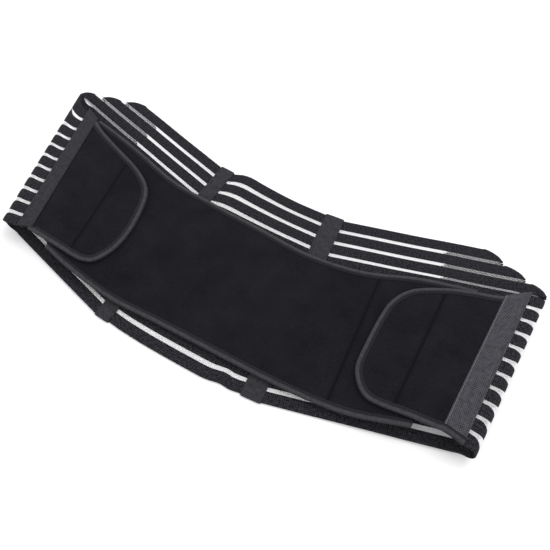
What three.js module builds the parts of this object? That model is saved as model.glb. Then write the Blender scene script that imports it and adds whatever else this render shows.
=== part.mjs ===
// Maternity support belt, fastened and lying flat as a closed loop.
// Millimetres. X runs along the belt, Y up the body, Z up from the floor.
// The slatted elastic back lies on the floor and the velour front lies over it.
import * as THREE from 'three';

// Slatted elastic band
const STRIP_COUNT = 14;
const FRONT_STRIP_COUNT = 11;
const STRIP_WIDTH = 10.9;
const STRIP_THICKNESS = 1.1;
const BAND_PITCH = 14.5;
const FRONT_PITCH = 14.1;
const FRONT_FIRST_INSET = -0.6;

// Tapes across the back
const CLEARANCE = 0.3;
const TAPE_WALL = 0.6;
const BAR_WALL = 0.7;
const BAR_END_WALL = 1.0;
const BAR_MOUTH = 1;
const BAR_SPREAD_TOP = 125;
const BAR_SPREAD_BOTTOM = 156;
const BAR_CENTRE_Y = 0;

// Heights of the lying loop, and how far from the fold line the back starts to lift
const LOOP_HEIGHT = 23;
const HEM_LIFT = 1.2;
const HEM_LIFT_FROM = 125;
const HEM_LIFT_SPAN = 50;
const FOLD_LIFT = 1.2;
const FOLD_LIFT_SPAN = 45;
const FRONT_SAG = 12.1;
const SAG_START = 3;
const SAG_SPAN = 107;

// Bend of the strips at the end folds and the hem of the top strips
const FOLD_EASE = 8;
const FAN_POWER = 12;
const DROOP_POWER = 6;
const TUCKED_STRIP = 9;
const HEM_RADIUS = 0.9;
const HEM_DEPTH = 4.5;
const HEM_REACH = 60;

// Front panel and fastening tabs
const CLOTH_THICKNESS = 1.6;
const BINDING_WIDTH = 6.4;
const TAB_OVER_PANEL = 3.9;
const TAPE_LENGTH = 155;
const TAB_LENGTH = 103;
const FRONT_LENGTH = 380;
const FRONT_HEIGHT = 140;

// Sizes that differ between the two ends of the lying belt
const LEFT = {
  name: 'left',
  outward: -1,
  barWidth: 16,
  wingAngle: 15.3,
  foldFoot: [-210.4, -50.1],
  foldLean: -12.5,
  foldFirst: -8,
  foldPitch: 14.6,
  foldFan: 13,
  foldDroop: 2.5,
  foldNarrowing: 1.7,
  footNarrowing: 3.5,
  tuckSpread: 8,
  cornerSpread: 8,
  tapeFoot: [-195.2, -65.2],
  tapeLean: -11.4,
  tapeWidth: 15,
  tapeFootSlope: 0.1,
  tapeHeadSlope: -0.75,
};
const RIGHT = {
  name: 'right',
  outward: 1,
  barWidth: 19.5,
  wingAngle: 14.5,
  foldFoot: [249.6, -42.1],
  foldLean: 4.3,
  foldFirst: -8.6,
  foldPitch: 15,
  foldFan: 1.5,
  foldDroop: 3,
  foldNarrowing: 3.6,
  footNarrowing: 0,
  tuckSpread: 0,
  cornerSpread: 0,
  tapeFoot: [244.5, -56.6],
  tapeLean: 4,
  tapeWidth: 19.5,
  tapeFootSlope: 0.35,
  tapeHeadSlope: -0.85,
};

// Ends of the three top strips: where each edge stops past the fold line, as shares of the
// hem's reach, and how much of the hem depth is turned under
const STRIP_ENDS = {
  left: [
    { lower: 0.32, upper: 0.05, under: 0.6 },
    { lower: -0.13, upper: -0.485, under: 0.8 },
    { lower: -0.6, upper: -1.0, under: 1 },
  ],
  right: [
    { lower: 0.195, upper: -0.095, under: 0.6 },
    { lower: -0.19, upper: -0.56, under: 0.8 },
    { lower: -0.6, upper: -0.96, under: 1 },
  ],
};

// Panel edges: share from left end to right end, then shares of front length and height
const PANEL_EDGES = [
  { share: 0.0, upperX: -0.526, upperY: 0.564, lowerX: -0.42, lowerY: -0.504 },
  { share: 0.125, upperX: -0.395, upperY: 0.496, lowerX: -0.337, lowerY: -0.554 },
  { share: 0.25, upperX: -0.258, upperY: 0.411, lowerX: -0.211, lowerY: -0.593 },
  { share: 0.375, upperX: -0.121, upperY: 0.379, lowerX: -0.087, lowerY: -0.588 },
  { share: 0.5, upperX: 0.013, upperY: 0.357, lowerX: 0.037, lowerY: -0.586 },
  { share: 0.625, upperX: 0.15, upperY: 0.332, lowerX: 0.161, lowerY: -0.584 },
  { share: 0.75, upperX: 0.284, upperY: 0.379, lowerX: 0.287, lowerY: -0.575 },
  { share: 0.875, upperX: 0.421, upperY: 0.5, lowerX: 0.413, lowerY: -0.543 },
  { share: 1.0, upperX: 0.558, upperY: 0.564, lowerX: 0.539, lowerY: -0.45 },
];

// Tab outlines from the lower corner round the tip: shares of tab length and of tape length
const TAB_OUTLINE = {
  left: [
    { inward: 0.07, along: 0.0 },
    { inward: 0.303, along: -0.04 },
    { inward: 0.472, along: -0.068 },
    { inward: 0.68, along: -0.096 },
    { inward: 0.81, along: -0.07 },
    { inward: 0.919, along: 0.036 },
    { inward: 0.975, along: 0.17 },
    { inward: 0.99, along: 0.34 },
    { inward: 0.965, along: 0.48 },
    { inward: 0.89, along: 0.57 },
    { inward: 0.75, along: 0.65 },
    { inward: 0.573, along: 0.719 },
    { inward: 0.41, along: 0.78 },
    { inward: 0.24, along: 0.855 },
    { inward: 0.07, along: 0.955 },
  ],
  right: [
    { inward: 0.07, along: 0.02 },
    { inward: 0.24, along: -0.004 },
    { inward: 0.422, along: -0.02 },
    { inward: 0.663, along: -0.044 },
    { inward: 0.8, along: -0.04 },
    { inward: 0.913, along: 0.015 },
    { inward: 0.985, along: 0.1 },
    { inward: 1.007, along: 0.24 },
    { inward: 1.018, along: 0.4 },
    { inward: 1.005, along: 0.535 },
    { inward: 0.935, along: 0.64 },
    { inward: 0.82, along: 0.71 },
    { inward: 0.615, along: 0.78 },
    { inward: 0.415, along: 0.828 },
    { inward: 0.24, along: 0.87 },
    { inward: 0.07, along: 0.95 },
  ],
};

// Waves of the strips between the two back tapes: share across, then shifts of the top strip
// and of the bottom strip up the body as shares of the pitch
const STRIP_WAVES = [
  { share: 0.0, top: 0.0, bottom: 0.0 },
  { share: 0.08, top: 0.24, bottom: -0.09 },
  { share: 0.17, top: 0.31, bottom: -0.15 },
  { share: 0.3, top: 0.2, bottom: -0.21 },
  { share: 0.45, top: 0.09, bottom: -0.24 },
  { share: 0.62, top: 0.0, bottom: -0.25 },
  { share: 0.76, top: -0.03, bottom: -0.23 },
  { share: 0.86, top: -0.02, bottom: -0.07 },
  { share: 0.93, top: -0.01, bottom: -0.1 },
  { share: 1.0, top: 0.0, bottom: 0.0 },
];
const TOP_WAVE_FADE = 4;
const BOTTOM_WAVE_FADE = 3;

// How finely the shapes are cut into facets
const FOLD_STEPS = 11;
const WING_STEPS = 3;
const HEM_STEPS = 6;
const STATION_STEP = 20;
const STATION_GAP = 4;
const SLOPE_STEP = 0.05;
const HALVINGS = 40;
const OUTLINE_SAMPLES = 36;
const PANEL_STEPS = 30;
const OUTLINE_GAP = 0.5;
const CUT_MARGIN = 1;
const STRAIGHT_SHARES = [0.25, 0.5, 0.75];
const TAB_RINGS = [0.45, 0.75, 1];
const PANEL_ROWS = [0, 0.25, 0.5, 0.75, 1];

// Derived heights
const BACK_MID = BAR_WALL + CLEARANCE + STRIP_THICKNESS / 2;
const FOLD_MID = BACK_MID + HEM_LIFT + FOLD_LIFT;
const FOLD_RADIUS = (LOOP_HEIGHT - FOLD_MID) / 2;
const FOLD_ARC = Math.PI * FOLD_RADIUS;
const BAND_HEIGHT = BAND_PITCH * (STRIP_COUNT - 1) + STRIP_WIDTH;

// Cloths of the belt
const ELASTIC = { color: 0x2a2a2c, roughness: 0.85 };
const BACK_TAPE = { color: 0x3b3a3e, roughness: 0.9 };
const FRONT_TAPE = { color: 0x434246, roughness: 0.9 };
const VELOUR = { color: 0x201f24, roughness: 0.95 };
const BINDING = { color: 0x3d3c40, roughness: 0.9 };

// Lengths below these are taken as nothing
const SHORTEST_VECTOR = 1e-3;
const WELD_GRID = 1e-4;

const group = new THREE.Group();
group.name = 'maternity_support_belt';

// Small helpers
const rad = (degrees) => (degrees * Math.PI) / 180;
const lerp = (a, b, t) => a + (b - a) * t;
const clamp01 = (t) => Math.min(1, Math.max(0, t));
const smooth = (t) => clamp01(t) * clamp01(t) * (3 - 2 * clamp01(t));
const add2 = (p, v, k) => [p[0] + v[0] * k, p[1] + v[1] * k];
const dot2 = (p, v) => p[0] * v[0] + p[1] * v[1];
const sub2 = (p, v) => [p[0] - v[0], p[1] - v[1]];

// Smooth value of one named column of a table at a share between its rows
function tableAt(rows, key, column, at) {
  let i = 0;
  while (i < rows.length - 2 && at > rows[i + 1][key]) i += 1;
  const span = rows[i + 1][key] - rows[i][key];
  const t = clamp01((at - rows[i][key]) / span);
  const before = rows[Math.max(0, i - 1)];
  const after = rows[Math.min(rows.length - 1, i + 2)];
  const slopeA = (rows[i + 1][column] - before[column]) / (rows[i + 1][key] - before[key]);
  const slopeB = (after[column] - rows[i][column]) / (after[key] - rows[i][key]);
  const t2 = t * t;
  const t3 = t2 * t;
  return (
    rows[i][column] * (2 * t3 - 3 * t2 + 1) +
    slopeA * span * (t3 - 2 * t2 + t) +
    rows[i + 1][column] * (3 * t2 - 2 * t3) +
    slopeB * span * (t3 - t2)
  );
}

// Closed solid from sections that all have the same number of points
function sweptSolid(sections) {
  const count = sections[0].length;
  const positions = sections.flat(2);
  const index = [];
  for (let s = 0; s < sections.length - 1; s += 1) {
    for (let k = 0; k < count; k += 1) {
      const a = s * count + k;
      const b = s * count + ((k + 1) % count);
      index.push(a, b, a + count, b, b + count, a + count);
    }
  }
  const last = (sections.length - 1) * count;
  const caps = THREE.ShapeUtils.triangulateShape(capOutline(sections[0]), []);
  const capsLast = THREE.ShapeUtils.triangulateShape(capOutline(sections[sections.length - 1]), []);
  for (const [a, b, c] of caps) index.push(a, c, b);
  for (const [a, b, c] of capsLast) index.push(last + a, last + b, last + c);
  return facingOut(positions, index);
}

// An end section laid out flat so that its cap can be cut into triangles
function capOutline(section) {
  const points = section.map((p) => new THREE.Vector3(...p));
  const u = new THREE.Vector3().subVectors(points[1], points[0]).normalize();
  let v = new THREE.Vector3();
  for (let i = 2; i < points.length && v.length() < SHORTEST_VECTOR; i += 1) {
    v.subVectors(points[i], points[0]);
    v.addScaledVector(u, -v.dot(u));
  }
  v.normalize();
  return points.map((p) => {
    const d = new THREE.Vector3().subVectors(p, points[0]);
    return new THREE.Vector2(d.dot(u), d.dot(v));
  });
}

// Geometry with its faces turned outwards, judged from its signed volume
function facingOut(positions, index) {
  let volume = 0;
  const at = (i) => new THREE.Vector3(positions[3 * i], positions[3 * i + 1], positions[3 * i + 2]);
  for (let i = 0; i < index.length; i += 3) {
    volume += at(index[i]).dot(at(index[i + 1]).cross(at(index[i + 2])));
  }
  const turned = [];
  for (let i = 0; i < index.length; i += 3) {
    if (volume > 0) turned.push(index[i], index[i + 1], index[i + 2]);
    else turned.push(index[i], index[i + 2], index[i + 1]);
  }
  const geometry = new THREE.BufferGeometry();
  geometry.setAttribute('position', new THREE.Float32BufferAttribute(positions, 3));
  geometry.setIndex(turned);
  geometry.computeVertexNormals();
  return geometry;
}

function addPiece(name, geometry, cloth) {
  const material = new THREE.MeshStandardMaterial({ ...cloth, metalness: 0 });
  const mesh = new THREE.Mesh(geometry, material);
  mesh.name = name;
  group.add(mesh);
}

// Frame of one end of the belt: fold line, front tape line and back tape line in plan
function makeEnd(side) {
  const foldUp = [Math.sin(rad(side.foldLean)), Math.cos(rad(side.foldLean))];
  const foldOut = [side.outward * foldUp[1], -side.outward * foldUp[0]];
  const tapeUp = [Math.sin(rad(side.tapeLean)), Math.cos(rad(side.tapeLean))];
  const tapeIn = [-side.outward * tapeUp[1], side.outward * tapeUp[0]];
  const wing = [side.outward * Math.cos(rad(side.wingAngle)), Math.sin(rad(side.wingAngle))];
  const rise = Math.sqrt(BAND_HEIGHT ** 2 - ((BAR_SPREAD_BOTTOM - BAR_SPREAD_TOP) / 2) ** 2);
  const barFoot = [(side.outward * BAR_SPREAD_BOTTOM) / 2, BAR_CENTRE_Y - rise / 2];
  const barHead = [(side.outward * BAR_SPREAD_TOP) / 2, BAR_CENTRE_Y + rise / 2];
  const barUp = [(barHead[0] - barFoot[0]) / BAND_HEIGHT, (barHead[1] - barFoot[1]) / BAND_HEIGHT];
  const barOut = [side.outward * barUp[1], -side.outward * barUp[0]];
  return { ...side, foldUp, foldOut, tapeUp, tapeIn, wing, barFoot, barUp, barOut };
}

const ends = { left: makeEnd(LEFT), right: makeEnd(RIGHT) };

// Height of the middle of the back layer at a distance outward from the fold line
function backHeight(q) {
  const hemLift = HEM_LIFT * smooth((q + HEM_LIFT_FROM) / HEM_LIFT_SPAN);
  return BACK_MID + hemLift + FOLD_LIFT * smooth(1 + q / FOLD_LIFT_SPAN);
}

// Point of the band, given in the unfolded plane, carried round the end fold
function foldPoint(end, q, p, h) {
  if (q <= 0) {
    const [x, y] = add2(add2(end.foldFoot, end.foldOut, q), end.foldUp, p);
    return [x, y, backHeight(q) + h];
  }
  const angle = Math.min(q, FOLD_ARC) / FOLD_RADIUS;
  const radius = FOLD_RADIUS - h;
  const reach = radius * Math.sin(angle) - Math.max(0, q - FOLD_ARC);
  const [x, y] = add2(add2(end.foldFoot, end.foldOut, reach), end.foldUp, p);
  return [x, y, FOLD_MID + FOLD_RADIUS - radius * Math.cos(angle)];
}

// Point of a top strip in plan: it lies on past the fold line, as it ends before the fold
function lyingPoint(end, plan, h) {
  return [...plan, backHeight(dot2(sub2(plan, end.foldFoot), end.foldOut)) + h];
}

// Point across a strip where it leaves a back tape: side 1 is its outer edge of the tape
function barPoint(end, j, side, shift) {
  const onTape = add2(end.barFoot, end.barUp, STRIP_WIDTH / 2 + BAND_PITCH * j + shift);
  return add2(onTape, end.barOut, side * (end.barWidth / 2 + BAR_MOUTH));
}

// Middle line of a strip beyond its back tape: p for each q of the unfolded plane.
// The strips held by the front tape run straight to the fold; the top ones keep their direction.
function wingLine(end, j) {
  const start = sub2(barPoint(end, j, 1, 0), end.foldFoot);
  const q0 = dot2(start, end.foldOut);
  const p0 = dot2(start, end.foldUp);
  if (j >= FRONT_STRIP_COUNT) {
    const slope = dot2(end.wing, end.foldUp) / dot2(end.wing, end.foldOut);
    return { q0, line: (q) => p0 + slope * (q - q0) };
  }
  const tapeAt = STRIP_WIDTH / 2 + FRONT_FIRST_INSET + FRONT_PITCH * j;
  const entry = sub2(add2(end.tapeFoot, end.tapeUp, tapeAt), end.foldFoot);
  const qTape = FOLD_ARC - dot2(entry, end.foldOut);
  const pTape = dot2(entry, end.foldUp);
  const up = j / (FRONT_STRIP_COUNT - 1);
  const fan = end.foldFan * up ** FAN_POWER - end.foldDroop * (1 - up) ** DROOP_POWER;
  const pFold = end.foldFirst + end.foldPitch * j + fan;
  const front = (q) => lerp(pFold, pTape, smooth((q - FOLD_EASE) / (qTape - FOLD_EASE)));
  const back = (q) => lerp(p0, pFold, (q - q0) / -q0);
  const line = (q) => lerp(back(q), front(q), smooth((q / FOLD_EASE + 1) / 2));
  return { q0, line };
}

// Sideways shift of a strip's edge as it rounds the fold. The upper edge is drawn in, or spread
// by the tuck and by the corner of the uppermost folded strip. The lowest strip's foot is drawn in.
function foldShift(end, j, side, q) {
  if (j >= FRONT_STRIP_COUNT || q <= 0 || q >= FOLD_ARC) return 0;
  const round = Math.sin((Math.PI * q) / FOLD_ARC) ** 2;
  if (side < 0) return j === 0 ? end.footNarrowing * round : 0;
  const tuck = j === TUCKED_STRIP ? end.tuckSpread : 0;
  const corner = j === FRONT_STRIP_COUNT - 1 ? end.cornerSpread : 0;
  return (tuck + corner - end.foldNarrowing) * round;
}

// Edge of a strip in the unfolded plane: its middle line set off sideways
function edgePoint({ end, j, line }, q, side) {
  const slope = (line(q + SLOPE_STEP) - line(q - SLOPE_STEP)) / (2 * SLOPE_STEP);
  const shift = foldShift(end, j, side, q);
  const scale = ((side * STRIP_WIDTH) / 2 + shift) / Math.hypot(1, slope);
  return [q - slope * scale, line(q) + scale];
}

// Value of q at which a test of the edge point changes sign
function solveEdge(strip, side, from, to, test) {
  let low = from;
  let high = to;
  const sign = Math.sign(test(edgePoint(strip, low, side)));
  for (let i = 0; i < HALVINGS; i += 1) {
    const mid = (low + high) / 2;
    if (Math.sign(test(edgePoint(strip, mid, side))) === sign) low = mid;
    else high = mid;
  }
  return (low + high) / 2;
}

// Stations of q along a wing: sparse while it is straight, close round the fold
function wingStations(q0, qEnd) {
  const stations = [];
  const first = q0 + STATION_STEP;
  const last = -2 * FOLD_EASE;
  for (let k = 0; k <= WING_STEPS; k += 1) stations.push(lerp(first, last, k / WING_STEPS));
  for (let q = -FOLD_EASE; q < 0; q += FOLD_EASE / 2) stations.push(q);
  for (let k = 0; k <= FOLD_STEPS; k += 1) stations.push((FOLD_ARC * k) / FOLD_STEPS);
  return stations.filter((q) => q < qEnd - STATION_GAP);
}

// Cross-section of a strip between its two edges, four corners
function stripSection(map, lower, upper) {
  const half = STRIP_THICKNESS / 2;
  return [map(lower, -half), map(upper, -half), map(upper, half), map(lower, half)];
}

// Sections of a strip from a back tape round the fold into the front tape
function wingToTape(end, j) {
  const { q0, line } = wingLine(end, j);
  const strip = { end, j, line };
  const depth = end.tapeWidth / 2 - TAPE_WALL / 2 - CLEARANCE;
  const intoTape = ([q, p]) => {
    const plan = add2(add2(end.foldFoot, end.foldOut, FOLD_ARC - q), end.foldUp, p);
    return dot2(sub2(plan, end.tapeFoot), end.tapeIn) - depth;
  };
  const endAt = (side) => {
    const q = solveEdge(strip, side, FOLD_ARC / 2, FOLD_ARC + TAB_LENGTH, intoTape);
    return edgePoint(strip, q, side);
  };
  const lower = endAt(-1);
  const upper = endAt(1);
  const map = ([q, p], h) => foldPoint(end, q, p, h);
  const sections = wingStations(q0, Math.min(lower[0], upper[0]))
    .map((q) => stripSection(map, edgePoint(strip, q, -1), edgePoint(strip, q, 1)));
  sections.push(stripSection(map, lower, upper));
  return sections;
}

// Sections of a top strip from a back tape to its slanted end. The end is turned under,
// and the part turned under leans back with the strip so that it stays beneath it.
function wingToHem(end, j) {
  const { q0, line } = wingLine(end, j);
  const strip = { end, j, line };
  const stop = STRIP_ENDS[end.name][j - FRONT_STRIP_COUNT];
  const planOf = ([q, p]) => add2(add2(end.foldFoot, end.foldOut, q), end.foldUp, p);
  const edgeWhere = (side, test) => {
    const q = solveEdge(strip, side, q0, 2 * HEM_REACH, test);
    return planOf(edgePoint(strip, q, side));
  };
  const lower = edgeWhere(-1, ([q]) => q - HEM_REACH * stop.lower);
  const upper = edgeWhere(1, ([q]) => q - HEM_REACH * stop.upper);
  const span = sub2(upper, lower);
  const axis = span.map((value) => value / Math.hypot(...span));
  const out = [end.outward * axis[1], -end.outward * axis[0]];
  const lean = -dot2(end.wing, axis) / dot2(end.wing, out);
  const beyond = (plan) => dot2(sub2(plan, lower), out);
  const map = (plan, h) => {
    const d = Math.max(0, beyond(plan));
    const angle = Math.min(d / HEM_RADIUS, Math.PI);
    const radius = HEM_RADIUS + h;
    const reach = radius * Math.sin(angle) - Math.max(0, d - Math.PI * HEM_RADIUS);
    return lyingPoint(end, add2(plan, out, reach - d), radius * Math.cos(angle) - HEM_RADIUS);
  };
  const edgeAt = (side, d) => {
    if (d > 0) return add2(add2(side < 0 ? lower : upper, axis, lean * d), out, d);
    return edgeWhere(side, (point) => beyond(planOf(point)) - d);
  };
  const turned = Math.PI * HEM_RADIUS;
  const distances = [-2 * FOLD_EASE, -FOLD_EASE, -FOLD_EASE / 2];
  for (let k = 0; k <= HEM_STEPS; k += 1) distances.push((turned * k) / HEM_STEPS);
  distances.push(turned + HEM_DEPTH * stop.under);
  const first = q0 + STATION_STEP;
  const edgesFirst = [-1, 1].map((side) => planOf(edgePoint(strip, first, side)));
  const edges = distances.map((d) => [edgeAt(-1, d), edgeAt(1, d)]);
  return [edgesFirst, ...edges].map((pair) => stripSection(map, ...pair));
}

// Shift of a strip up the body between the two back tapes
function waveAt(j, share) {
  const up = j / (STRIP_COUNT - 1);
  const top = tableAt(STRIP_WAVES, 'share', 'top', share) * up ** TOP_WAVE_FADE;
  const bottom = tableAt(STRIP_WAVES, 'share', 'bottom', share) * (1 - up) ** BOTTOM_WAVE_FADE;
  return BAND_PITCH * (top + bottom);
}

// Sections of a strip through the two back tapes and between them, from left to right
function middleSections(j) {
  const halfWidth = STRIP_WIDTH / 2;
  const flat = ([x, y], h) => [x, y, BACK_MID + h];
  const mouth = (end, side) => {
    const edge = (shift) => barPoint(end, j, side, shift);
    return stripSection(flat, edge(-halfWidth), edge(halfWidth));
  };
  const between = STRIP_WAVES.slice(1, -1).map(({ share }) => {
    const corner = (shift) => {
      const fromLeft = barPoint(ends.left, j, -1, shift);
      const fromRight = barPoint(ends.right, j, -1, shift);
      const x = lerp(fromLeft[0], fromRight[0], share);
      const y = lerp(fromLeft[1], fromRight[1], share) + waveAt(j, share);
      return [x, y];
    };
    return stripSection(flat, corner(-halfWidth), corner(halfWidth));
  });
  return [
    mouth(ends.left, 1),
    mouth(ends.left, -1),
    ...between,
    mouth(ends.right, -1),
    mouth(ends.right, 1),
  ];
}

// One elastic strip, from end to end
function stripGeometry(j) {
  const wing = j < FRONT_STRIP_COUNT ? wingToTape : wingToHem;
  const leftWing = wing(ends.left, j).reverse();
  const rightWing = wing(ends.right, j);
  return sweptSolid([...leftWing, ...middleSections(j), ...rightWing]);
}

for (let j = 0; j < STRIP_COUNT; j += 1) {
  const name = `elastic_strip_${String(j + 1).padStart(2, '0')}`;
  addPiece(name, stripGeometry(j), ELASTIC);
}

// Flat prism: an outline in a vertical plane pushed along a plan direction
function prism(shape, length, origin, across, along, z) {
  const geometry = new THREE.ExtrudeGeometry(shape, { depth: length, bevelEnabled: false });
  const matrix = new THREE.Matrix4().makeBasis(
    new THREE.Vector3(across[0], across[1], 0),
    new THREE.Vector3(0, 0, 1),
    new THREE.Vector3(along[0], along[1], 0),
  );
  matrix.setPosition(origin[0], origin[1], z);
  geometry.applyMatrix4(matrix);
  return geometry;
}

// Geometry rebuilt from its loose triangles so that it closes and faces out
function sealed(geometry) {
  const source = geometry.index ? geometry.toNonIndexed() : geometry;
  const attribute = source.getAttribute('position');
  const known = new Map();
  const positions = [];
  const index = [];
  for (let i = 0; i < attribute.count; i += 1) {
    const point = [attribute.getX(i), attribute.getY(i), attribute.getZ(i)];
    const key = point.map((value) => Math.round(value / WELD_GRID)).join(',');
    if (!known.has(key)) {
      known.set(key, positions.length / 3);
      positions.push(...point);
    }
    index.push(known.get(key));
  }
  return facingOut(positions, index);
}

// Back tape: a flat sleeve stitched round the band, the strips running through it
function barGeometry(end) {
  const tunnel = STRIP_THICKNESS + 2 * CLEARANCE;
  const reach = CLEARANCE + BAR_END_WALL;
  const shape = new THREE.Shape();
  shape.moveTo(-reach, 0);
  shape.lineTo(BAND_HEIGHT + reach, 0);
  shape.lineTo(BAND_HEIGHT + reach, tunnel + 2 * BAR_WALL);
  shape.lineTo(-reach, tunnel + 2 * BAR_WALL);
  shape.closePath();
  const hole = new THREE.Path();
  hole.moveTo(-CLEARANCE, BAR_WALL);
  hole.lineTo(-CLEARANCE, BAR_WALL + tunnel);
  hole.lineTo(BAND_HEIGHT + CLEARANCE, BAR_WALL + tunnel);
  hole.lineTo(BAND_HEIGHT + CLEARANCE, BAR_WALL);
  hole.closePath();
  shape.holes.push(hole);
  const across = [end.barUp[1], -end.barUp[0]];
  const origin = add2(end.barFoot, across, -end.barWidth / 2);
  return sealed(prism(shape, end.barWidth, origin, end.barUp, across, 0));
}

for (const end of Object.values(ends)) {
  addPiece(`back_tape_${end.name}`, barGeometry(end), BACK_TAPE);
}

// Front tape: folded tape holding the strip ends on one edge and the tab on the other
function frontTapeGeometry(end) {
  const stripSlot = STRIP_THICKNESS / 2 + CLEARANCE;
  const tabSlot = CLOTH_THICKNESS / 2 + CLEARANCE;
  const skin = tabSlot + TAPE_WALL;
  const middle = end.tapeWidth / 2;
  const web = TAPE_WALL / 2;
  const shape = new THREE.Shape();
  shape.moveTo(0, -skin);
  shape.lineTo(end.tapeWidth, -skin);
  shape.lineTo(end.tapeWidth, -tabSlot);
  shape.lineTo(middle + web, -tabSlot);
  shape.lineTo(middle + web, tabSlot);
  shape.lineTo(end.tapeWidth, tabSlot);
  shape.lineTo(end.tapeWidth, skin);
  shape.lineTo(0, skin);
  shape.lineTo(0, stripSlot);
  shape.lineTo(middle - web, stripSlot);
  shape.lineTo(middle - web, -stripSlot);
  shape.lineTo(0, -stripSlot);
  shape.closePath();
  const geometry = sealed(prism(shape, 1, [0, 0], [1, 0], [0, 1], 0));
  const position = geometry.getAttribute('position');
  for (let i = 0; i < position.count; i += 1) {
    const inward = position.getX(i);
    const foot = end.tapeFootSlope * inward;
    const head = TAPE_LENGTH + end.tapeHeadSlope * inward;
    const along = lerp(foot, head, position.getY(i));
    const plan = add2(add2(end.tapeFoot, end.tapeIn, inward), end.tapeUp, along);
    position.setXYZ(i, plan[0], plan[1], LOOP_HEIGHT + position.getZ(i));
  }
  return sealed(geometry);
}

for (const end of Object.values(ends)) {
  addPiece(`front_tape_${end.name}`, frontTapeGeometry(end), FRONT_TAPE);
}

// Height of the middle of the tab cloth, sagging away from the front tapes
function tabHeight(x, y) {
  const inward = Object.values(ends).map((end) => {
    return dot2(sub2([x, y], end.tapeFoot), end.tapeIn) - end.tapeWidth;
  });
  return LOOP_HEIGHT - FRONT_SAG * smooth((Math.min(...inward) - SAG_START) / SAG_SPAN);
}

const panelHeight = (x, y) => tabHeight(x, y) - TAB_OVER_PANEL;

// Inward normals along an open outline; the turn says on which side the inside lies
function outlineNormals(points, turn) {
  return points.map((point, i) => {
    const before = points[Math.max(0, i - 1)];
    const after = points[Math.min(points.length - 1, i + 1)];
    const d = sub2(after, before);
    const length = Math.hypot(...d);
    return [(-turn * d[1]) / length, (turn * d[0]) / length];
  });
}

// Binding: folded tape of U section round an edge, open towards the inside
function bindingGeometry(points, inwards, heightAt) {
  const slot = CLOTH_THICKNESS / 2 + CLEARANCE;
  const skin = slot + TAPE_WALL;
  const profile = [
    [0, -slot],
    [0, slot],
    [TAPE_WALL, skin],
    [BINDING_WIDTH, skin],
    [BINDING_WIDTH, slot],
    [TAPE_WALL, slot],
    [TAPE_WALL, -slot],
    [BINDING_WIDTH, -slot],
    [BINDING_WIDTH, -skin],
    [TAPE_WALL, -skin],
  ];
  const sections = points.map((point, i) => {
    return profile.map(([inward, h]) => {
      const [x, y] = add2(point, inwards[i], inward);
      return [x, y, heightAt(x, y) + h];
    });
  });
  return sweptSolid(sections);
}

// Smooth outline of a tab in plan, sampled from its table
function tabOutline(end) {
  const rows = TAB_OUTLINE[end.name].map((row, i) => ({ ...row, step: i }));
  const points = [];
  for (let i = 0; i <= OUTLINE_SAMPLES; i += 1) {
    const step = ((rows.length - 1) * i) / OUTLINE_SAMPLES;
    const inward = TAB_LENGTH * tableAt(rows, 'step', 'inward', step);
    const along = TAPE_LENGTH * tableAt(rows, 'step', 'along', step);
    points.push(add2(add2(end.tapeFoot, end.tapeIn, inward), end.tapeUp, along));
  }
  return points;
}

const inwardOf = (end, point) => dot2(sub2(point, end.tapeFoot), end.tapeIn);

// Part of an outline that lies further in than a limit, cut exactly at the limit
function beyondLimit(end, points, limit) {
  const kept = [];
  for (let i = 0; i < points.length; i += 1) {
    const here = inwardOf(end, points[i]) - limit;
    if (i > 0) {
      const before = inwardOf(end, points[i - 1]) - limit;
      if (before < 0 !== here < 0) {
        const t = before / (before - here);
        kept.push(add2(points[i - 1], sub2(points[i], points[i - 1]), t));
      }
    }
    if (here > OUTLINE_GAP) kept.push(points[i]);
  }
  return kept;
}

// Cloth plate over a star-shaped outline, following a height function
function clothPlate(outline, heightAt) {
  const centre = [0, 0];
  for (const point of outline) {
    centre[0] += point[0] / outline.length;
    centre[1] += point[1] / outline.length;
  }
  const count = outline.length;
  const positions = [];
  const index = [];
  const half = CLOTH_THICKNESS / 2;
  const sheet = 1 + count * TAB_RINGS.length;
  for (const h of [half, -half]) {
    positions.push(centre[0], centre[1], heightAt(...centre) + h);
    for (const share of TAB_RINGS) {
      for (const point of outline) {
        const x = lerp(centre[0], point[0], share);
        const y = lerp(centre[1], point[1], share);
        positions.push(x, y, heightAt(x, y) + h);
      }
    }
  }
  for (let k = 0; k < count; k += 1) {
    const next = (k + 1) % count;
    index.push(0, 1 + k, 1 + next);
    index.push(sheet, sheet + 1 + next, sheet + 1 + k);
    for (let r = 0; r < TAB_RINGS.length - 1; r += 1) {
      const a = 1 + r * count + k;
      const b = 1 + r * count + next;
      index.push(a, a + count, b + count, a, b + count, b);
      index.push(sheet + a, sheet + b + count, sheet + a + count);
      index.push(sheet + a, sheet + b, sheet + b + count);
    }
    const edge = 1 + (TAB_RINGS.length - 1) * count;
    index.push(edge + k, sheet + edge + k, sheet + edge + next);
    index.push(edge + k, sheet + edge + next, edge + next);
  }
  return facingOut(positions, index);
}

// Tab cloth: its curved edge sits in the binding and its straight edge in the front tape
function tabGeometry(end) {
  const outline = tabOutline(end);
  const normals = outlineNormals(outline, -end.outward);
  const inset = outline.map((point, i) => add2(point, normals[i], TAPE_WALL + CLEARANCE));
  const limit = end.tapeWidth / 2 + TAPE_WALL / 2 + CLEARANCE;
  const curve = beyondLimit(end, inset, limit);
  const first = curve[0];
  const last = curve[curve.length - 1];
  const straight = STRAIGHT_SHARES.map((t) => add2(last, sub2(first, last), t));
  return clothPlate([...curve, ...straight], tabHeight);
}

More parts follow.
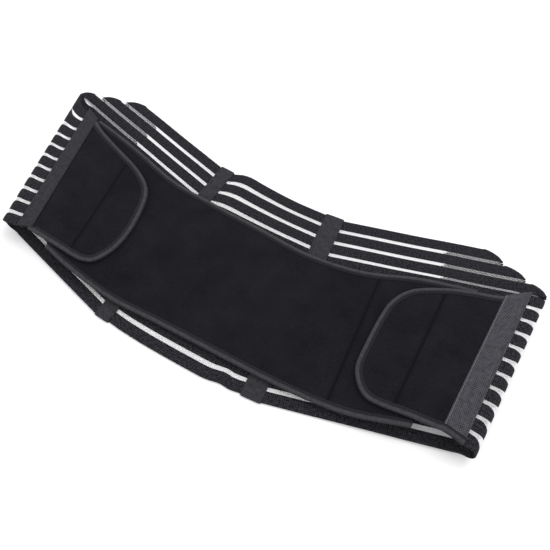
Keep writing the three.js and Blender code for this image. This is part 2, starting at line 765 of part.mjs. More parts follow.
// Binding round the curved edge of a tab, both its ends cut along the front tape
function tabBindingGeometry(end) {
  const limit = end.tapeWidth + CLEARANCE;
  const outline = beyondLimit(end, tabOutline(end), limit);
  const normals = outlineNormals(outline, -end.outward);
  const points = [];
  const inwards = [];
  outline.forEach((point, i) => {
    const cut = i === 0 || i === outline.length - 1;
    const inner = add2(point, normals[i], BINDING_WIDTH);
    if (!cut && inwardOf(end, inner) < limit + CUT_MARGIN) return;
    const fromTape = dot2(normals[i], end.tapeUp);
    points.push(point);
    inwards.push(cut ? end.tapeUp.map((value) => value / fromTape) : normals[i]);
  });
  return bindingGeometry(points, inwards, tabHeight);
}

for (const end of Object.values(ends)) {
  addPiece(`tab_${end.name}`, tabGeometry(end), VELOUR);
  addPiece(`tab_binding_${end.name}`, tabBindingGeometry(end), BINDING);
}

// Point of a panel edge in plan at a share from the left end
function panelEdge(edge, share) {
  const x = FRONT_LENGTH * tableAt(PANEL_EDGES, 'share', `${edge}X`, share);
  const y = FRONT_HEIGHT * tableAt(PANEL_EDGES, 'share', `${edge}Y`, share);
  return [x, y];
}

const panelShares = Array.from({ length: PANEL_STEPS + 1 }, (_, i) => i / PANEL_STEPS);
const panelBorders = {
  upper: panelShares.map((share) => panelEdge('upper', share)),
  lower: panelShares.map((share) => panelEdge('lower', share)),
};
const panelNormals = {
  upper: outlineNormals(panelBorders.upper, -1),
  lower: outlineNormals(panelBorders.lower, 1),
};

// Panel cloth: its long edges sit in the two bindings
function panelGeometry() {
  const inset = TAPE_WALL + CLEARANCE;
  const half = CLOTH_THICKNESS / 2;
  const sections = panelShares.map((share, i) => {
    const low = add2(panelBorders.lower[i], panelNormals.lower[i], inset);
    const high = add2(panelBorders.upper[i], panelNormals.upper[i], inset);
    const row = PANEL_ROWS.map((t) => [lerp(low[0], high[0], t), lerp(low[1], high[1], t)]);
    const above = row.map(([x, y]) => [x, y, panelHeight(x, y) + half]);
    const below = row.map(([x, y]) => [x, y, panelHeight(x, y) - half]);
    return [...above, ...below.reverse()];
  });
  return sweptSolid(sections);
}

addPiece('front_panel', panelGeometry(), VELOUR);
for (const edge of ['upper', 'lower']) {
  const geometry = bindingGeometry(panelBorders[edge], panelNormals[edge], panelHeight);
  addPiece(`panel_binding_${edge}`, geometry, BINDING);
}

// The origin is set under the middle of the whole belt, on the floor
const box = new THREE.Box3().setFromObject(group);
const centre = box.getCenter(new THREE.Vector3());
for (const mesh of group.children) mesh.geometry.translate(-centre.x, -centre.y, -box.min.z);

export default group;
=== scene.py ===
import math
from types import SimpleNamespace

import bpy
import numpy as np
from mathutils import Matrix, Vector


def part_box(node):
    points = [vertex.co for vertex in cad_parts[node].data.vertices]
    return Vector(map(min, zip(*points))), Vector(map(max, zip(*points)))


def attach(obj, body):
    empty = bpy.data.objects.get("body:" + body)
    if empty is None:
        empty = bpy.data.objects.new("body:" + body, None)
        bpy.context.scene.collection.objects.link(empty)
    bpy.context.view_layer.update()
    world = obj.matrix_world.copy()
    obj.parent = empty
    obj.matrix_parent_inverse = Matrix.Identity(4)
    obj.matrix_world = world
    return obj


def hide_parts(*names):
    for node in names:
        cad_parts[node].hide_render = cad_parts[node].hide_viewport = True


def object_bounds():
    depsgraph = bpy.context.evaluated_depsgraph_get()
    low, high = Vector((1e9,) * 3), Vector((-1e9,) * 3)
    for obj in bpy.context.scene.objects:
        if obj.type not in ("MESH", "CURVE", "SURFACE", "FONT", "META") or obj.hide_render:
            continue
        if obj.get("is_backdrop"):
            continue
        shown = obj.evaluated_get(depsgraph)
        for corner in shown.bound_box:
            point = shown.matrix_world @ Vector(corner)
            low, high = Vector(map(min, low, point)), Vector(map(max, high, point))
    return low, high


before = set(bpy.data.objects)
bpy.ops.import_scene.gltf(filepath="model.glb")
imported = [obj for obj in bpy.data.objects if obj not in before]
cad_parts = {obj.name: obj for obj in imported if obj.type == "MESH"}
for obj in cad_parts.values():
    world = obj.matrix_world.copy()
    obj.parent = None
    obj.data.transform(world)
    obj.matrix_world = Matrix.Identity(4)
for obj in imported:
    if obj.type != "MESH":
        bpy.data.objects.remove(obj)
solid_low, solid_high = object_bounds()


# Elastic strips: fourteen black knitted elastic strips, each about 11 mm wide, that run
# round the back of the belt. The lower eleven go round both end folds into the front
# tapes, and the top three end at a slanted hem, turned under.
MM = 0.001
STRIP_COUNT = 14
FRONT_STRIP_COUNT = 11
STRIP_WIDTH = 10.9
STRIP_THICKNESS = 1.1
BAND_PITCH = 14.5
BAND_HEIGHT = BAND_PITCH * (STRIP_COUNT - 1) + STRIP_WIDTH
FRONT_PITCH = 14.1
FRONT_FIRST_INSET = -0.6
TAPE_SPREAD_TOP = 125
TAPE_SPREAD_BOTTOM = 156
TAPE_MOUTH = 1
LEAD = 20
BACK_HEIGHT = 1.55
HEM_LIFT, HEM_LIFT_FROM, HEM_LIFT_SPAN = 1.2, 125, 50
FOLD_LIFT, FOLD_LIFT_SPAN = 1.2, 45
LOOP_HEIGHT = 23
FOLD_MIDDLE = BACK_HEIGHT + HEM_LIFT + FOLD_LIFT
FOLD_RADIUS = (LOOP_HEIGHT - FOLD_MIDDLE) / 2
FOLD_ARC = math.pi * FOLD_RADIUS
FOLD_EASE = 8
FAN_POWER, DROOP_POWER = 12, 6
TUCKED_STRIP = 9
STRIP_INTO_TAPE = 0.6
FRONT_REACH = 60
HEM_RADIUS = 0.9
HEM_DEPTH = 4.5
HEM_REACH = 60
HEM_BULGE = 2.2
GATHER_DEPTH = 0.16
GATHER_REACH = 13
GATHER_RIBS = 3.5
SLOPE_STEP = 0.05
HALVINGS = 40
LAST_TURN_GAP = 4

# The two ends of the belt lie differently: leans and angles in degrees, the rest in mm. Each
# row of stops is a top strip: where its lower and its upper edge stop past the fold line, as
# shares of the hem's reach, and how much of the hem depth is turned under
ENDS = {
    "left": SimpleNamespace(
        name="left", outward=-1, bar_width=16, wing_angle=15.3,
        fold_foot=(-210.4, -50.1), fold_lean=-12.5, fold_first=-8, fold_pitch=14.6,
        fold_fan=13, fold_droop=2.5, fold_narrowing=1.7, foot_narrowing=3.5,
        tuck_spread=8, corner_spread=8,
        tape_foot=(-195.2, -65.2), tape_lean=-11.4, tape_width=15, head_slope=-0.75,
        stops=((0.32, 0.05, 0.6), (-0.13, -0.485, 0.8), (-0.6, -1.0, 1)),
    ),
    "right": SimpleNamespace(
        name="right", outward=1, bar_width=19.5, wing_angle=14.5,
        fold_foot=(249.6, -42.1), fold_lean=4.3, fold_first=-8.6, fold_pitch=15,
        fold_fan=1.5, fold_droop=3, fold_narrowing=3.6, foot_narrowing=0,
        tuck_spread=0, corner_spread=0,
        tape_foot=(244.5, -56.6), tape_lean=4, tape_width=19.5, head_slope=-0.85,
        stops=((0.195, -0.095, 0.6), (-0.19, -0.56, 0.8), (-0.6, -0.96, 1)),
    ),
}

# Waves between the back tapes: share across, shift of the top strip, shift of the bottom one
STRIP_WAVES = [
    (0.0, 0.0, 0.0),
    (0.08, 0.24, -0.09),
    (0.17, 0.31, -0.15),
    (0.3, 0.2, -0.21),
    (0.45, 0.09, -0.24),
    (0.62, 0.0, -0.25),
    (0.76, -0.03, -0.23),
    (0.86, -0.02, -0.07),
    (0.93, -0.01, -0.1),
    (1.0, 0.0, 0.0),
]
TOP_WAVE_FADE, BOTTOM_WAVE_FADE = 4, 3

ELASTIC_BLACK = "09080b"
ELASTIC_HIGH = "3b3a40"
KNIT_PITCH = 1.7
RIB_PITCH = 1.7
KNIT_RELIEF = 0.22

back_tape_low, back_tape_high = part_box("back_tape_left")
back_tape_middle = (back_tape_low + back_tape_high) / 2
LEFT_TAPE_X = (TAPE_SPREAD_TOP + TAPE_SPREAD_BOTTOM) / -4
DRAWING_ORIGIN = np.array([back_tape_middle.x - LEFT_TAPE_X * MM, back_tape_middle.y, 0.0])


def placed(points):
    """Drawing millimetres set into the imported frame, in metres."""
    return np.asarray(points, float) * MM + DRAWING_ORIGIN


def smooth(t):
    """An eased step from 0 to 1."""
    t = np.clip(t, 0, 1)
    return t * t * (3 - 2 * t)


def mix(a, b, t):
    return a + (b - a) * t


def table_at(rows, column, at):
    """Smooth value of one column of a table at a value of its first column."""
    i = 0
    while i < len(rows) - 2 and at > rows[i + 1][0]:
        i += 1
    before, here = rows[max(0, i - 1)], rows[i]
    there, after = rows[i + 1], rows[min(len(rows) - 1, i + 2)]
    span = there[0] - here[0]
    t = min(1, max(0, (at - here[0]) / span))
    slope_a = (there[column] - before[column]) / (there[0] - before[0])
    slope_b = (after[column] - here[column]) / (after[0] - here[0])
    return (
        here[column] * (2 * t**3 - 3 * t**2 + 1)
        + slope_a * span * (t**3 - 2 * t**2 + t)
        + there[column] * (3 * t**2 - 2 * t**3)
        + slope_b * span * (t**3 - t**2)
    )


for end in ENDS.values():
    lean, tape_lean = math.radians(end.fold_lean), math.radians(end.tape_lean)
    wing = math.radians(end.wing_angle)
    end.fold_foot, end.tape_foot = np.array(end.fold_foot, float), np.array(end.tape_foot, float)
    end.fold_up = np.array([math.sin(lean), math.cos(lean)])
    end.fold_out = end.outward * np.array([end.fold_up[1], -end.fold_up[0]])
    end.tape_up = np.array([math.sin(tape_lean), math.cos(tape_lean)])
    end.tape_in = -end.outward * np.array([end.tape_up[1], -end.tape_up[0]])
    end.wing = np.array([end.outward * math.cos(wing), math.sin(wing)])
    rise = math.sqrt(BAND_HEIGHT**2 - ((TAPE_SPREAD_BOTTOM - TAPE_SPREAD_TOP) / 2) ** 2)
    end.bar_foot = np.array([end.outward * TAPE_SPREAD_BOTTOM / 2, -rise / 2])
    end.bar_head = np.array([end.outward * TAPE_SPREAD_TOP / 2, rise / 2])
    end.bar_up = (end.bar_head - end.bar_foot) / BAND_HEIGHT
    end.bar_out = end.outward * np.array([end.bar_up[1], -end.bar_up[0]])


def back_height(q):
    """Height of the back layer's middle at a distance outward from the fold line."""
    hem_lift = HEM_LIFT * smooth((q + HEM_LIFT_FROM) / HEM_LIFT_SPAN)
    return BACK_HEIGHT + hem_lift + FOLD_LIFT * smooth(1 + q / FOLD_LIFT_SPAN)


def round_fold(end, edge, h):
    """A point of the unfolded band carried round the end fold."""
    q, p = edge
    if q <= 0:
        plan = end.fold_foot + end.fold_out * q + end.fold_up * p
        return np.array([*plan, back_height(q) + h])
    angle = min(q, FOLD_ARC) / FOLD_RADIUS
    radius = FOLD_RADIUS - h
    reach = radius * math.sin(angle) - max(0, q - FOLD_ARC)
    plan = end.fold_foot + end.fold_out * reach + end.fold_up * p
    return np.array([*plan, FOLD_MIDDLE + FOLD_RADIUS - radius * math.cos(angle)])


def at_back_tape(end, j, side, shift):
    """Plan point across a strip at a side of its back tape, 1 for the outer one."""
    on_tape = end.bar_foot + end.bar_up * (STRIP_WIDTH / 2 + BAND_PITCH * j + shift)
    return on_tape + end.bar_out * side * (end.bar_width / 2 + TAPE_MOUTH)


def in_fold_frame(end, plan):
    """A plan point as its distance outward from the fold line and its place along it."""
    return np.array([(plan - end.fold_foot) @ end.fold_out, (plan - end.fold_foot) @ end.fold_up])


def wing_line(end, j):
    """Where a strip leaves its back tape, and its middle line from there in the unfolded plane."""
    q0, p0 = in_fold_frame(end, at_back_tape(end, j, 1, 0))
    if j >= FRONT_STRIP_COUNT:
        slope = (end.wing @ end.fold_up) / (end.wing @ end.fold_out)
        return q0, lambda q: p0 + slope * (q - q0)
    tape_at = STRIP_WIDTH / 2 + FRONT_FIRST_INSET + FRONT_PITCH * j
    entry, p_tape = in_fold_frame(end, end.tape_foot + end.tape_up * tape_at)
    q_tape = FOLD_ARC - entry
    up = j / (FRONT_STRIP_COUNT - 1)
    fan = end.fold_fan * up**FAN_POWER - end.fold_droop * (1 - up) ** DROOP_POWER
    p_fold = end.fold_first + end.fold_pitch * j + fan

    def line(q):
        front = mix(p_fold, p_tape, smooth((q - FOLD_EASE) / (q_tape - FOLD_EASE)))
        back = mix(p0, p_fold, (q - q0) / -q0)
        return mix(back, front, smooth((q / FOLD_EASE + 1) / 2))

    return q0, line


LINES = {(end.name, j): wing_line(end, j) for end in ENDS.values() for j in range(STRIP_COUNT)}


def fold_shift(end, j, side, q):
    """Sideways shift of an edge round the fold: drawn in, or spread by the tuck and the corner."""
    if j >= FRONT_STRIP_COUNT or not 0 < q < FOLD_ARC:
        return 0
    round_share = math.sin(math.pi * q / FOLD_ARC) ** 2
    if side < 0:
        return end.foot_narrowing * round_share if j == 0 else 0
    spread = {TUCKED_STRIP: end.tuck_spread, FRONT_STRIP_COUNT - 1: end.corner_spread}.get(j, 0)
    return (spread - end.fold_narrowing) * round_share


def edge_point(end, j, q, side):
    """An edge of a strip in the unfolded plane, at any q from the back tape outwards."""
    q0, line = LINES[end.name, j]
    if q < q0 + LEAD:
        mouth = in_fold_frame(end, at_back_tape(end, j, 1, side * STRIP_WIDTH / 2))
        return mix(mouth, edge_point(end, j, q0 + LEAD, side), max(0, (q - q0) / LEAD))
    slope = (line(q + SLOPE_STEP) - line(q - SLOPE_STEP)) / (2 * SLOPE_STEP)
    scale = (side * STRIP_WIDTH / 2 + fold_shift(end, j, side, q)) / math.hypot(1, slope)
    return np.array([q - slope * scale, line(q) + scale])


def cut_at(end, j, side, first, last, test):
    """The edge point at which a test changes sign."""
    sign = test(edge_point(end, j, first, side)) > 0
    for _ in range(HALVINGS):
        middle = (first + last) / 2
        if (test(edge_point(end, j, middle, side)) > 0) == sign:
            first = middle
        else:
            last = middle
    return (first + last) / 2


def into_front_tape(end, j, side):
    """Where an edge of a strip ends inside the front tape."""
    depth = end.tape_width / 2 - STRIP_INTO_TAPE

    def past(edge):
        plan = end.fold_foot + end.fold_out * (FOLD_ARC - edge[0]) + end.fold_up * edge[1]
        return (plan - end.tape_foot) @ end.tape_in - depth

    return cut_at(end, j, side, FOLD_ARC / 2, FOLD_ARC + FRONT_REACH, past)


def wing_to_tape(end, j):
    """Stations of a strip round the fold into the front tape: a map and both edges."""
    q0, _ = LINES[end.name, j]
    stops = [into_front_tape(end, j, side) for side in (-1, 1)]
    turn = min(FOLD_ARC, min(stops) - LAST_TURN_GAP)
    eased = -2 * FOLD_EASE
    spans = ((q0, q0 + LEAD, 6), (q0 + LEAD, eased, 24), (eased, 0, 8), (0, turn, 28))
    qs = [q for a, b, n in spans for q in np.linspace(a, b, n, endpoint=False)]
    pairs = [(q, q) for q in qs] + [
        tuple(mix(turn, stop, t) for stop in stops) for t in np.linspace(0, 1, 7)
    ]
    fold = lambda edge, h, v: round_fold(end, edge, h)
    return [(fold, edge_point(end, j, a, -1), edge_point(end, j, b, 1), 0) for a, b in pairs]


def wing_to_hem(end, j):
    """Stations of a top strip to its slanted end, which bulges a little and is turned under."""
    q0, _ = LINES[end.name, j]
    lower_stop, upper_stop, under = end.stops[j - FRONT_STRIP_COUNT]
    plan_of = lambda edge: end.fold_foot + end.fold_out * edge[0] + end.fold_up * edge[1]

    def edge_where(side, test):
        return plan_of(edge_point(end, j, cut_at(end, j, side, q0, 2 * HEM_REACH, test), side))

    lower = edge_where(-1, lambda edge: edge[0] - HEM_REACH * lower_stop)
    upper = edge_where(1, lambda edge: edge[0] - HEM_REACH * upper_stop)
    axis = (upper - lower) / np.linalg.norm(upper - lower)
    out = end.outward * np.array([axis[1], -axis[0]])
    lean = (end.wing @ axis) / (end.wing @ out)

    def turn_under(plan, h, v):
        bulge = HEM_BULGE * (1 - v * v)
        d = (plan - lower) @ out
        beyond = max(0, d - bulge)
        angle = min(beyond / HEM_RADIUS, math.pi)
        radius = HEM_RADIUS + h
        reach = min(d, bulge) + radius * math.sin(angle) - max(0, beyond - math.pi * HEM_RADIUS)
        moved = plan + out * (reach - d)
        height = back_height((moved - end.fold_foot) @ end.fold_out)
        return np.array([*moved, height + radius * math.cos(angle) - HEM_RADIUS])

    def edge_at(side, d):
        if d > 0:
            turned = max(0, d - HEM_BULGE)
            angle = min(turned / HEM_RADIUS, math.pi)
            reach = HEM_RADIUS * math.sin(angle) - max(0, turned - math.pi * HEM_RADIUS)
            return (lower if side < 0 else upper) + axis * lean * reach + out * d
        return edge_where(side, lambda edge: (plan_of(edge) - lower) @ out - d)

    last = math.pi * HEM_RADIUS + HEM_DEPTH * under + HEM_BULGE
    distances = [*np.linspace(-2 * FOLD_EASE, -1, 7), *np.linspace(0, 6, 16), last]
    lead = [
        [plan_of(edge_point(end, j, q0 + LEAD * t, side)) for side in (-1, 1)]
        for t in np.linspace(0, 1, 6, endpoint=False)
    ]
    first = [plan_of(edge_point(end, j, q0 + LEAD, side)) for side in (-1, 1)]
    near = [edge_at(side, distances[0]) for side in (-1, 1)]
    straight = [
        [mix(first[k], near[k], t) for k in (0, 1)] for t in np.linspace(0, 1, 18, endpoint=False)
    ]
    hem = [[edge_at(side, d) for side in (-1, 1)] for d in distances]
    return [(turn_under, *pair, 0) for pair in lead + straight + hem]


def wave_at(j, share):
    """Shift of a strip up the body at a share of the way between the back tapes."""
    up = j / (STRIP_COUNT - 1)
    top = table_at(STRIP_WAVES, 1, share) * up**TOP_WAVE_FADE
    bottom = table_at(STRIP_WAVES, 2, share) * (1 - up) ** BOTTOM_WAVE_FADE
    return BAND_PITCH * (top + bottom)


def middle_edge(j, share, side):
    """Plan point on an edge of a strip between the two back tapes."""
    ends = [at_back_tape(ENDS[name], j, -1, side * STRIP_WIDTH / 2) for name in ("left", "right")]
    return mix(*ends, share) + np.array([0, wave_at(j, share)])


def strip_stations(j):
    """Stations of a strip from its left end to its right end."""
    wing = wing_to_tape if j < FRONT_STRIP_COUNT else wing_to_hem
    level = lambda plan, h, v: np.array([*plan, BACK_HEIGHT + h])
    middle = []
    span = TAPE_SPREAD_TOP
    for share in np.linspace(0, 1, 61):
        gather = math.exp(-min(share, 1 - share) * span / GATHER_REACH)
        middle.append((level, middle_edge(j, share, -1), middle_edge(j, share, 1), gather))
    return [*wing(ENDS["left"], j)[::-1], *middle, *wing(ENDS["right"], j)]


def rounded_profile(points, squareness):
    """A flat rounded section: shares of half its width and of half its thickness."""
    angles = (np.arange(points) + 0.5) * 2 * math.pi / points
    across, up = np.cos(angles), np.sin(angles)
    return [
        (math.copysign(abs(a) ** squareness, a), math.copysign(abs(b) ** 0.5, b))
        for a, b in zip(across, up)
    ]


def lengths_along(points):
    """Length from the first point of a chain to each of its points."""
    return np.concatenate([[0], np.cumsum(np.linalg.norm(np.diff(points, axis=0), axis=1))])


def skin_mesh(name, rings, closed=False):
    """A smooth closed skin over rings of points, with a UV map in millimetres called weave."""
    rings = np.asarray(rings, float)
    count, size = rings.shape[:2]
    points = placed(rings.reshape(-1, 3))
    along = lengths_along(rings.mean(axis=1))
    loop = np.linalg.norm(np.roll(rings, -1, axis=1) - rings, axis=2).mean(axis=0)
    around = np.concatenate([[0], np.cumsum(loop)])
    spans = count if closed else count - 1
    faces, uvs = [], []
    for s in range(spans):
        a, b = s, (s + 1) % count
        u0, u1 = along[s], along[s + 1] if s + 1 < count else along[s] + along[1]
        for k in range(size):
            n = (k + 1) % size
            faces.append((a * size + k, a * size + n, b * size + n, b * size + k))
            uvs += [(u0, around[k]), (u0, around[k + 1]), (u1, around[k + 1]), (u1, around[k])]
    if not closed:
        for ring, order in ((0, range(size - 1, -1, -1)), (count - 1, range(size))):
            faces.append(tuple(ring * size + k for k in order))
            uvs += [(along[ring], around[k]) for k in order]
    mesh = bpy.data.meshes.new(name)
    mesh.from_pydata(points.tolist(), [], faces)
    layer = mesh.uv_layers.new(name="weave")
    layer.data.foreach_set("uv", np.array(uvs).ravel())
    return outward_facing(mesh)


def outward_facing(mesh):
    """The mesh shaded smooth, turned inside out where its volume comes out negative."""
    mesh.calc_loop_triangles()
    corners = np.array([mesh.vertices[i].co for t in mesh.loop_triangles for i in t.vertices])
    corners = corners.reshape(-1, 3, 3)
    volume = np.einsum("ij,ij->i", corners[:, 0], np.cross(corners[:, 1], corners[:, 2])).sum()
    if volume < 0:
        mesh.flip_normals()
    mesh.shade_smooth()
    return mesh


def linear(hex_colour):
    """An sRGB hex colour turned to linear light."""
    channels = [int(hex_colour[i : i + 2], 16) / 255 for i in (0, 2, 4)]
    lit = [c / 12.92 if c <= 0.04045 else ((c + 0.055) / 1.055) ** 2.4 for c in channels]
    return (*lit, 1.0)


def add_node(tree, kind, settings=None, **inputs):
    """A node with its settings, and inputs that are set or linked from (node, output).
    An input is called by its name with _ for a space, or by its place as i0, i1 and so on."""
    node = tree.nodes.new(kind)
    for key, value in (settings or {}).items():
        setattr(node, key, value)
    for key, value in inputs.items():
        by_place = key[0] == "i" and key[1:].isdigit()
        socket = node.inputs[int(key[1:]) if by_place else key.replace("_", " ")]
        if isinstance(value, tuple) and isinstance(value[0], bpy.types.Node):
            tree.links.new(value[0].outputs[value[1]], socket)
        else:
            socket.default_value = value
    return node


def new_finish(name, roughness, sheen, specular):
    """An empty fabric finish: its tree and its shader, with the even values on its own sockets."""
    material = bpy.data.materials.new(name)
    material.use_nodes = True
    tree = material.node_tree
    shader = tree.nodes["Principled BSDF"]
    shader.inputs["Roughness"].default_value = roughness
    shader.inputs["Sheen Weight"].default_value = sheen
    shader.inputs["Sheen Roughness"].default_value = 0.5
    shader.inputs["Specular IOR Level"].default_value = specular
    return material, tree, shader


def add_maths(tree, operation, *values):
    """The output of a maths node on two or three values or outputs."""
    node = add_node(tree, "ShaderNodeMath", {"operation": operation})
    for socket, value in zip(node.inputs, values):
        if isinstance(value, tuple):
            tree.links.new(value[0].outputs[value[1]], socket)
        else:
            socket.default_value = value
    return (node, 0)


def wave_of(tree, coordinate, pitch):
    """A sine of a coordinate in millimetres, from 0 to 1 once in each pitch."""
    turns = add_maths(tree, "MULTIPLY", coordinate, 2 * math.pi / pitch)
    return add_maths(tree, "MULTIPLY_ADD", add_maths(tree, "SINE", turns), 0.5, 0.5)


def blended_colour(tree, share, dark, light):
    """The colour output of a mix between two sRGB tones."""
    colours = {"i6": linear(dark), "i7": linear(light)}
    return (add_node(tree, "ShaderNodeMix", {"data_type": "RGBA"}, Factor=share, **colours), 2)


def woven_surface(tree, shader, height, dark, light, depth, share=None):
    """Colour between two tones and a bump from one height between 0 and 1."""
    colour, output = blended_colour(tree, share or height, dark, light)
    bump = add_node(tree, "ShaderNodeBump", Strength=1.0, Distance=depth * MM, Height=height)
    tree.links.new(colour.outputs[output], shader.inputs["Base Color"])
    tree.links.new(bump.outputs[0], shader.inputs["Normal"])


def knitted_elastic():
    """Warp-knitted elastic: ribs along the strip crossed by weft picks, which give the eye
    a fine dull grid. The real picks are 0.6 mm apart and are drawn coarser so that they show."""
    material, tree, shader = new_finish("knitted_elastic", 0.9, 0.02, 0.08)
    uv = add_node(tree, "ShaderNodeUVMap", {"uv_map": "weave"})
    parts = add_node(tree, "ShaderNodeSeparateXYZ", Vector=(uv, 0))
    ribs = wave_of(tree, (parts, 1), RIB_PITCH)
    picks = wave_of(tree, (parts, 0), KNIT_PITCH)
    grid = add_maths(tree, "MULTIPLY", ribs, picks)
    noise = {"Scale": 0.5, "Detail": 2.0, "Roughness": 0.7}
    fuzz = add_node(tree, "ShaderNodeTexNoise", Vector=(uv, 0), **noise)
    tone = add_maths(tree, "MULTIPLY_ADD", grid, 0.3, (fuzz, 0))
    spread = add_node(tree, "ShaderNodeMapRange", Value=tone, From_Min=0.4, From_Max=0.85)
    woven_surface(tree, shader, grid, ELASTIC_BLACK, ELASTIC_HIGH, KNIT_RELIEF, (spread, 0))
    return material


def add_piece(name, mesh, material, replaced=()):
    """A finished piece of the belt on its one body."""
    mesh.materials.clear()
    mesh.materials.append(material)
    piece = bpy.data.objects.new(name, mesh)
    bpy.context.scene.collection.objects.link(piece)
    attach(piece, "root")
    if replaced:
        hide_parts(*replaced)
    return piece


ELASTIC = knitted_elastic()
STRIP_PROFILE = rounded_profile(24, 0.8)

for j in range(STRIP_COUNT):
    rings = []
    for place_at, lower, upper, gather in strip_stations(j):
        ring = []
        for v, h in STRIP_PROFILE:
            edge = mix(lower, upper, (v + 1) / 2)
            relief = GATHER_DEPTH * gather * math.cos(GATHER_RIBS * math.pi * v) * (1 - v * v)
            ring.append(place_at(edge, h * STRIP_THICKNESS / 2 + relief, v))
        rings.append(ring)
    node = f"elastic_strip_{j + 1:02d}"
    add_piece(f"strip_{j + 1:02d}", skin_mesh(node, rings), ELASTIC, [node])


# Net between the strips: a white monofilament knit that joins the strips. It is all but unseen
# over a pale ground and shows as light bands over the dark inside. Near the slanted hem the
# band is turned under, so dark elastic lies behind the net and it looks grey.
NET_PITCH = 0.6
NET_RADIUS = 0.13
NET_OVERLAP = 0.7
NET_LEAN = 3
NET_OPEN = 4
FACING_FROM = {"left": (-166.5, -163.5, -161.0), "right": (181.0, 177.0, 174.0)}
FACING_SHORT = 5.0
FACING_REACH = 2.2
FACING_DROP = 1.05
FACING_THICKNESS = 0.5
NET_CLEAR = "fdfdfe"
NET_SHADE = "f3f3f5"
NET_TOP_GAP = FRONT_STRIP_COUNT - 1
NET_TOP_STOP = -1.0
RAIL_STEPS, MIDDLE_STEPS = 90, 60
FACING_STEP = 3.0


def add_sockets(tree, rows):
    """A geometry input and output, and the named inputs between: their identifiers by key."""
    tree.interface.new_socket("Geometry", in_out="INPUT", socket_type="NodeSocketGeometry")
    sockets = {
        key: tree.interface.new_socket(label, in_out="INPUT", socket_type=kind).identifier
        for key, label, kind in rows
    }
    tree.interface.new_socket("Geometry", in_out="OUTPUT", socket_type="NodeSocketGeometry")
    return sockets


def strand_tree(name):
    """Geometry Nodes: every edge chain of a mesh becomes a round strand."""
    tree = bpy.data.node_groups.new(name, "GeometryNodeTree")
    sockets = add_sockets(tree, (
        ("radius", "Strand radius", "NodeSocketFloat"),
        ("finish", "Finish", "NodeSocketMaterial"),
    ))
    source = add_node(tree, "NodeGroupInput")
    path = add_node(tree, "GeometryNodeMeshToCurve", i0=(source, 0))
    section = add_node(tree, "GeometryNodeCurvePrimitiveCircle", Resolution=3, Radius=(source, 1))
    strands = add_node(
        tree, "GeometryNodeCurveToMesh", Curve=(path, 0), Profile_Curve=(section, 0), Fill_Caps=True
    )
    joined = add_node(tree, "GeometryNodeRealizeInstances", i0=(strands, 0))
    finished = add_node(tree, "GeometryNodeSetMaterial", Geometry=(joined, 0), Material=(source, 2))
    add_node(tree, "NodeGroupOutput", i0=(finished, 0))
    return tree, sockets


def grown(name, mesh, tree, values):
    """The plain mesh that a Geometry Nodes tree grows on a path mesh."""
    base = bpy.data.objects.new(name, mesh)
    bpy.context.scene.collection.objects.link(base)
    modifier = base.modifiers.new(name, "NODES")
    modifier.node_group = tree
    for identifier, value in values.items():
        modifier[identifier] = value
    evaluated = base.evaluated_get(bpy.context.evaluated_depsgraph_get())
    result = bpy.data.meshes.new_from_object(evaluated)
    bpy.data.objects.remove(base)
    return result


def chains_mesh(name, chains):
    """A mesh of edges alone, one chain of points after another."""
    points, edges = [], []
    for chain in chains:
        first = len(points)
        points += list(chain)
        edges += [(first + i, first + i + 1) for i in range(len(chain) - 1)]
    mesh = bpy.data.meshes.new(name)
    mesh.from_pydata(placed(points).tolist(), edges, [])
    return mesh


def evenly(rail, other, pitch):
    """Two rails sampled again at one even pitch along their middle."""
    rail, other = np.array(rail), np.array(other)
    length = lengths_along((rail + other) / 2)
    at = np.linspace(0, length[-1], max(3, int(length[-1] / pitch)))
    return [
        np.column_stack([np.interp(at, length, side[:, k]) for k in range(3)])
        for side in (rail, other)
    ]


def strip_edge_at(end, j, q, side):
    """A strip's edge in space: the top strips lie on where the others go round the fold."""
    edge = edge_point(end, j, q, side)
    return round_fold(end, (min(edge[0], 0), edge[1]) if j >= FRONT_STRIP_COUNT else edge, 0)


def net_rails(j):
    """The facing edges of strips j and j + 1 from the left end to the right end."""
    rails = [[], []]
    for name, flip in (("left", True), ("right", False)):
        end = ENDS[name]
        sides = []
        for strip, side in ((j, 1), (j + 1, -1)):
            if j < NET_TOP_GAP:
                stop = into_front_tape(end, strip, side)
            elif j == NET_TOP_GAP:
                stop = NET_TOP_STOP
            else:
                top = j - FRONT_STRIP_COUNT
                stop = HEM_REACH * min(end.stops[top][1], end.stops[top + 1][0])
            qs = [mix(LINES[name, strip][0], stop, t) for t in np.linspace(0, 1, RAIL_STEPS)]
            sides.append([strip_edge_at(end, strip, q, side) for q in qs])
        if flip:
            sides = [s[::-1] for s in sides]
            middle = [[], []]
            for share in np.linspace(0, 1, MIDDLE_STEPS):
                middle[0].append([*middle_edge(j, share, 1), BACK_HEIGHT])
                middle[1].append([*middle_edge(j + 1, share, -1), BACK_HEIGHT])
            rails = [sides[k] + middle[k] for k in (0, 1)]
        else:
            rails = [rails[k] + sides[k] for k in (0, 1)]
    return rails


def crossed_strands(rail, other, faced):
    """Straight strands between two rails, leaning both ways, which cross to make a net's holes.
    Where the band is faced the net is stretched open, so only some of them are drawn."""
    reach = rail - other
    reach = reach / np.maximum(np.linalg.norm(reach, axis=1, keepdims=True), 0.1) * NET_OVERLAP
    low, high = rail + reach, other - reach
    steps = [i for i in range(len(rail) - NET_LEAN) if i % NET_OPEN == 0 or not faced[i]]
    rising = [(low[i], high[i + NET_LEAN]) for i in steps]
    falling = [(high[i], low[i + NET_LEAN]) for i in steps]
    return rising + falling


